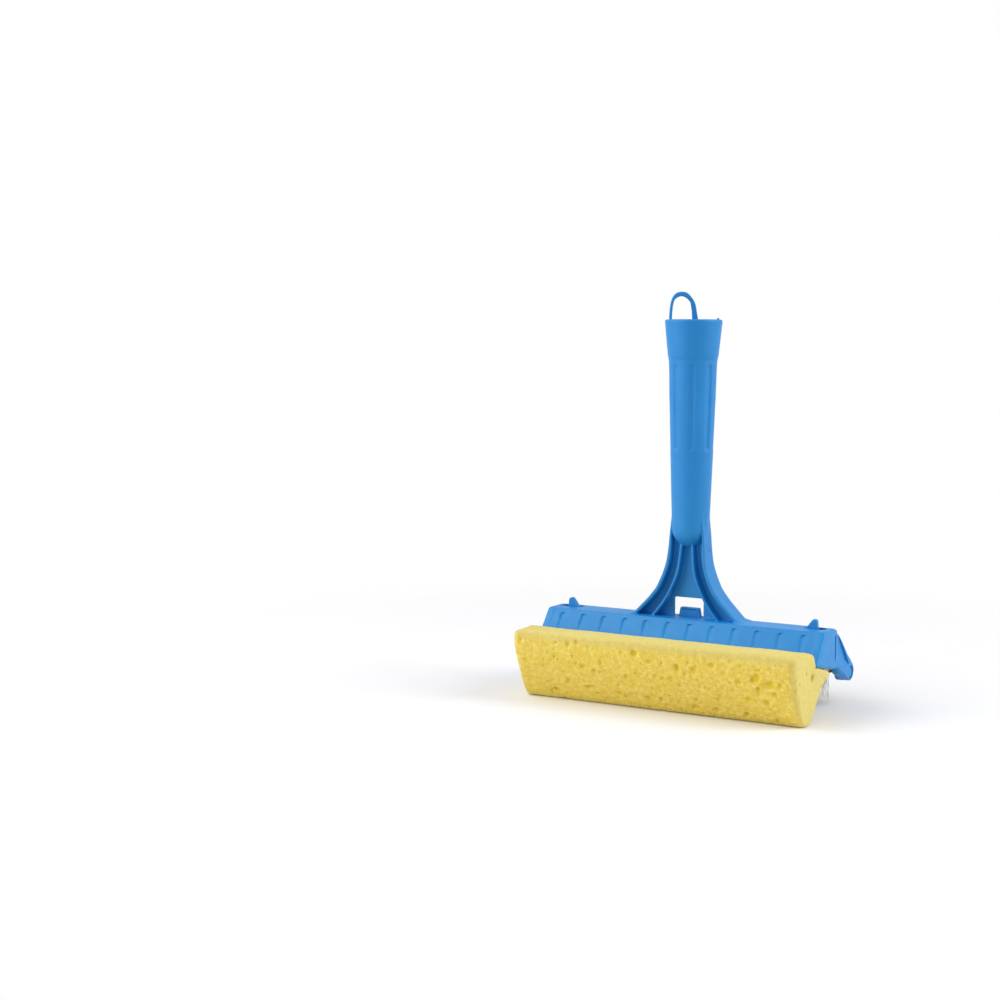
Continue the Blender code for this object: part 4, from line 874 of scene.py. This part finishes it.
def colour(hex_code):
    """An sRGB hex value as linear red, green, blue and alpha."""
    parts = [int(hex_code[i:i + 2], 16) / 255 for i in (1, 3, 5)]
    return tuple(c / 12.92 if c <= 0.04045 else ((c + 0.055) / 1.055) ** 2.4 for c in parts) + (1.0,)


def add(material, kind, inputs=None, **settings):
    """One node with its settings, and its inputs as values or as sockets that lead to them."""
    node = material.node_tree.nodes.new(kind)
    for name, value in settings.items():
        setattr(node, name, value)
    for name, value in (inputs or {}).items():
        if isinstance(value, bpy.types.NodeSocket):
            material.node_tree.links.new(value, node.inputs[name])
        else:
            node.inputs[name].default_value = value
    return node


def started(name):
    """An empty node material, and the surface coordinates in metres that its patterns follow."""
    material = bpy.data.materials.new(name)
    material.use_nodes = True
    material.node_tree.nodes.clear()
    place = add(material, "ShaderNodeTexCoord").outputs["Object"]
    return material, place


def finished(material, shader):
    """The material with its shader set."""
    add(material, "ShaderNodeOutputMaterial", {"Surface": shader.outputs[0]})
    return material


def ramp(material, value, stops):
    """A value turned into a colour between stops of (position, hex colour)."""
    node = add(material, "ShaderNodeValToRGB", {"Fac": value})
    band = node.color_ramp
    while len(band.elements) < len(stops):
        band.elements.new(0.5)
    for element, (position, hex_code) in zip(band.elements, stops):
        element.position = position
        element.color = colour(hex_code)
    return node.outputs["Color"]


def noise(material, place, width, detail=2.0, roughness=0.5):
    """Random patches about as wide as given in millimetres, as a value."""
    return add(material, "ShaderNodeTexNoise", {
        "Vector": place, "Scale": 1 / (width * MM), "Detail": detail, "Roughness": roughness}).outputs["Fac"]


def carried(material, name):
    """A value that the mesh carries at its points."""
    return add(material, "ShaderNodeAttribute", attribute_name=name).outputs["Fac"]


def ranged(material, value, start, end, low, high, **settings):
    """A value's range from start to end turned into one from low to high."""
    return add(material, "ShaderNodeMapRange", {
        "Value": value, "From Min": start, "From Max": end, "To Min": low, "To Max": high},
        **settings).outputs["Result"]


def mixed(material, share, one, other, **settings):
    """Two colours mixed."""
    return add(material, "ShaderNodeMixRGB", {"Fac": share, "Color1": one, "Color2": other},
               **settings).outputs["Color"]


def bumped(material, height, strength, depth, **settings):
    """The surface's slope under fine relief, whose depth is in millimetres."""
    return add(material, "ShaderNodeBump", {"Height": height, "Strength": strength, "Distance": depth * MM},
               **settings).outputs["Normal"]


def moulded_polypropylene():
    """Polypropylene, injection moulded in a satin tool: soft wide highlights and a faintly uneven skin."""
    blue, place = started("moulded_polypropylene")
    tone = ramp(blue, noise(blue, place, 22, 3.0), ((0.3, "#0F7FC7"), (0.7, "#1786CD")))
    rubbed = ranged(blue, noise(blue, place, 7, 4.0), 0.3, 0.7, 0.44, 0.54)
    satin = bumped(blue, noise(blue, place, 0.45), 0.25, 0.02)
    return finished(blue, add(blue, "ShaderNodeBsdfPrincipled", {
        "Base Color": tone, "Roughness": rubbed, "IOR": 1.49, "Specular IOR Level": 0.45, "Normal": satin}))


def open_cell_foam():
    """Polyurethane foam, cut from a block: matt, grainy cells, with painted shade inside the pores: a
    deeper, darker yellow.
    """
    foam, place = started("open_cell_foam")
    cells = add(foam, "ShaderNodeTexVoronoi", {"Vector": place, "Scale": 1 / (0.9 * MM), "Randomness": 1.0})
    cells = cells.outputs["Distance"]
    patches = noise(foam, place, 3.0, 4.0, 0.7)
    face = ramp(foam, patches, ((0.32, "#E2C553"), (0.5, "#EAD264"), (0.68, "#F2E186")))
    cell = ramp(foam, cells, ((0.1, "#FFFFFF"), (0.8, "#DCCB8C")))
    tone = mixed(foam, 0.35, face, cell, blend_type="MULTIPLY")
    # Painted light: the top and the ends turn paler and greyer for how the light falls on them
    tone = mixed(foam, ranged(foam, carried(foam, "closed"), 0, 1, 0, 0.6), tone, colour("#D2C680"))
    # Painted shade: the pores get a deeper, darker yellow the further they sink below the foam's surface
    tone = mixed(foam, ranged(foam, carried(foam, "depth_mm"), 0.3, 1.3, 0, 0.9), tone, colour("#DCC23A"))
    return finished(foam, add(foam, "ShaderNodeBsdfPrincipled", {
        "Base Color": tone, "Roughness": 0.9, "IOR": 1.5, "Specular IOR Level": 0.2,
        "Subsurface Weight": 0.35, "Subsurface Scale": 2.5 * MM, "Subsurface Radius": (1.0, 0.8, 0.35),
        "Normal": bumped(foam, cells, 0.5, 0.25, invert=True)}))


def nylon_filament():
    """Nylon, drawn into filaments: cream and lightly see-through, with painted shade that makes them greyer
    towards their roots by the stem.
    """
    nylon, place = started("nylon_filament")
    # Painted shade: filaments grow darker from tip to root, where the tufts crowd round the stem
    length = ramp(nylon, carried(nylon, "along"),
                  ((0.0, "#B4B08C"), (0.3, "#E2DEC6"), (0.9, "#F2EFE2"), (1.0, "#F8F6F2")))
    own = ramp(nylon, carried(nylon, "strand"), ((0.0, "#E2DCC2"), (0.5, "#F4F1E6"), (1.0, "#FFFDF8")))
    return finished(nylon, add(nylon, "ShaderNodeBsdfPrincipled", {
        "Base Color": mixed(nylon, 0.6, length, own, blend_type="MULTIPLY"),
        "Roughness": ranged(nylon, noise(nylon, place, 1.5), 0, 1, 0.28, 0.42),
        "IOR": 1.53, "Subsurface Weight": 0.2, "Subsurface Scale": 1 * MM}))


def galvanised_wire():
    """Galvanised steel, drawn and twisted: dull grey zinc with darker stains and small glints."""
    zinc, place = started("galvanised_wire")
    stains = noise(zinc, place, 1.2, 4.0)
    return finished(zinc, add(zinc, "ShaderNodeBsdfPrincipled", {
        "Base Color": ramp(zinc, stains, ((0.35, "#4A4A3C"), (0.6, "#8C8C80"))), "Metallic": 1.0,
        "Roughness": ranged(zinc, stains, 0, 1, 0.5, 0.25), "Normal": bumped(zinc, stains, 0.3, 0.03)}))


blue_plastic = moulded_polypropylene()
yellow_foam = open_cell_foam()
cream_filament = nylon_filament()
grey_wire = galvanised_wire()

# Sample spacing, and the boxes that hold each moulding, as lowest and highest corner
FINE = 0.5
PLUG_FINENESS, FERRULE_GRAIN = 0.8, 0.4
FOAM_GRAIN = 0.7
MERGING = 0.02
HEAD_BOX, NECK_BOX = ((-102, -32, 13), (102, 46, 63)), ((-42, -20, 63), (42, 20, 133))
HANDLE_BOX = ((-20, -20, 133), (20, 20, 255))
CARRIER_BOX = ((-96, -32, 24), (96, 8, 63))
PLUG_BOX = ((-18, -18, 235), (18, 18, 271))
FERRULE_FROM_TO, FERRULE_LOW, FERRULE_HIGH = (89, 100), (29, 14), (44, 29)

moulded_piece("moulded_handle_and_head", moulding, (HEAD_BOX, NECK_BOX, HANDLE_BOX),
              FINE, MERGING, blue_plastic, "handle", "blue_plastic", ["handle_and_head"])
moulded_piece("moulded_carrier", carrier_field, (CARRIER_BOX,),
              FINE, MERGING, blue_plastic, "sponge_unit", "blue_plastic", ["sponge_carrier"])
moulded_piece("moulded_plug", plug_field, (PLUG_BOX,),
              FINE * PLUG_FINENESS, MERGING, blue_plastic, "hanger", "blue_plastic", ["hanging_plug"])
for name, node, side in (("turned_ferrule_left", "ferrule_left", -1),
                         ("turned_ferrule_right", "ferrule_right", 1)):
    low, high = sorted(side * place for place in FERRULE_FROM_TO)
    moulded_piece(name, ferrule_field(side), (((low, *FERRULE_LOW), (high, *FERRULE_HIGH)),),
                  FERRULE_GRAIN, MERGING, blue_plastic, "brush", "blue_plastic", [node])
build_sponge(FOAM_GRAIN, yellow_foam)
build_bristles(cream_filament)
build_wires(grey_wire)


# Floor, light and camera

CAMERA_PLACE = Vector((0.44686, -1.01511, 0.23667))
CAMERA_RIGHT = Vector((0.8636, 0.5041, 0.0046))
CAMERA_DOWN = Vector((0.0512, -0.0787, -0.9956))
CAMERA_FORWARD = Vector((-0.5015, 0.8601, -0.0938))
LENS, SENSOR_WIDTH, LENS_SHIFT = 60.25, 36, 0.0007
CAMERA_NEAR, CAMERA_FAR = 0.05, 50
PAPER_GLOW, PAPER_HALF, PAPER_DROP = 0.02, 0.62, 0.0002
PAPER_FADE = (0.25, 0.6)  # the paper runs out into the white room
ROOM_STRENGTH = 0.5
MIDDLE = Vector((0, 0, 0.12))
UP = Vector((0, 0, 1))
# Soft lamps: name, place from the object's middle, width, height and watts
SOFTBOXES = (
    ("left_softbox", CAMERA_RIGHT * -1.32 - CAMERA_FORWARD * 0.3 + UP * 0.63, 1.3, 1.5, 15),
    ("right_softbox", CAMERA_RIGHT * 1.25 - CAMERA_FORWARD * 0.35 + UP * 0.75, 0.8, 1.2, 15),
    ("top_softbox", Vector((-0.85, -0.43, 1.41)), 1.0, 1.0, 5))


def seen(material):
    """1 for rays that show a surface, straight, mirrored or through glass, and 0 for its light."""
    path = add(material, "ShaderNodeLightPath")
    mirrored_too = add(material, "ShaderNodeMath", {
        0: path.outputs["Is Camera Ray"], 1: path.outputs["Is Glossy Ray"]}, operation="ADD")
    return add(material, "ShaderNodeMath", {
        0: mirrored_too.outputs[0], 1: path.outputs["Is Transmission Ray"]},
        operation="ADD", use_clamp=True).outputs[0]


def build_floor():
    """White studio paper, which keeps the object's shadow."""
    paper, place = started("white_paper")
    tone = ramp(paper, noise(paper, place, 30), ((0.0, "#F0F0F2"), (1.0, "#F2F2F4")))
    matt = add(paper, "ShaderNodeBsdfDiffuse", {"Color": tone})
    glow = add(paper, "ShaderNodeEmission", {"Color": colour("#FFFFFF"), "Strength": PAPER_GLOW})
    dark = add(paper, "ShaderNodeEmission", {"Strength": 0.0})
    shown = add(paper, "ShaderNodeMixShader", {0: seen(paper), 1: dark.outputs[0], 2: glow.outputs[0]})
    sheet = add(paper, "ShaderNodeAddShader", {0: matt.outputs[0], 1: shown.outputs[0]})
    away = add(paper, "ShaderNodeVectorMath", {0: place}, operation="LENGTH")
    fade = ranged(paper, away.outputs["Value"], *PAPER_FADE, 0, 1, interpolation_type="SMOOTHSTEP")
    clear = add(paper, "ShaderNodeBsdfTransparent")
    faded = add(paper, "ShaderNodeMixShader", {0: fade, 1: sheet.outputs[0], 2: clear.outputs[0]})
    finished(paper, faded)
    mesh = bpy.data.meshes.new("paper_floor")
    corners = [(across * PAPER_HALF, deep * PAPER_HALF, 0)
               for across, deep in ((-1, -1), (1, -1), (1, 1), (-1, 1))]
    mesh.from_pydata(corners, [], [(0, 1, 2, 3)])
    mesh.materials.append(paper)
    floor_sheet = bpy.data.objects.new("paper_floor", mesh)
    floor_sheet.location.z = -PAPER_DROP
    bpy.context.scene.collection.objects.link(floor_sheet)


def build_world():
    """A plain room that lights the object softly, and shows white."""
    world = bpy.data.worlds.new("white_studio")
    world.use_nodes = True
    world.node_tree.nodes.clear()
    room = add(world, "ShaderNodeBackground", {"Color": colour("#FFFFFF"), "Strength": ROOM_STRENGTH})
    white = add(world, "ShaderNodeBackground", {"Color": colour("#FFFFFF"), "Strength": 1.0})
    mixed = add(world, "ShaderNodeMixShader", {0: seen(world), 1: room.outputs[0], 2: white.outputs[0]})
    add(world, "ShaderNodeOutputWorld", {"Surface": mixed.outputs[0]})
    bpy.context.scene.world = world


def softbox(name, place, aim, width, height, power):
    """A soft lamp that faces a point."""
    lamp = bpy.data.lights.new(name, "AREA")
    lamp.shape = "RECTANGLE"
    lamp.size, lamp.size_y = width, height
    lamp.energy = power
    shape = bpy.data.objects.new(name, lamp)
    shape.location = place
    shape.rotation_euler = (Vector(aim) - Vector(place)).to_track_quat("-Z", "Y").to_euler()
    bpy.context.scene.collection.objects.link(shape)


def build_camera():
    """The camera at the photograph's viewing angle."""
    camera = bpy.data.objects.new("camera", bpy.data.cameras.new("camera"))
    turn = Matrix((CAMERA_RIGHT, -CAMERA_DOWN, -CAMERA_FORWARD)).transposed()
    camera.matrix_world = Matrix.Translation(CAMERA_PLACE) @ turn.to_4x4()
    camera.data.lens = LENS
    camera.data.sensor_width = SENSOR_WIDTH
    camera.data.shift_x = LENS_SHIFT
    camera.data.clip_start, camera.data.clip_end = CAMERA_NEAR, CAMERA_FAR
    bpy.context.scene.collection.objects.link(camera)
    bpy.context.scene.camera = camera


build_floor()
build_world()
build_camera()
for name, place, width, height, power in SOFTBOXES:
    softbox(name, MIDDLE + place, MIDDLE, width, height, power)
bpy.context.scene.view_settings.view_transform = "Standard"
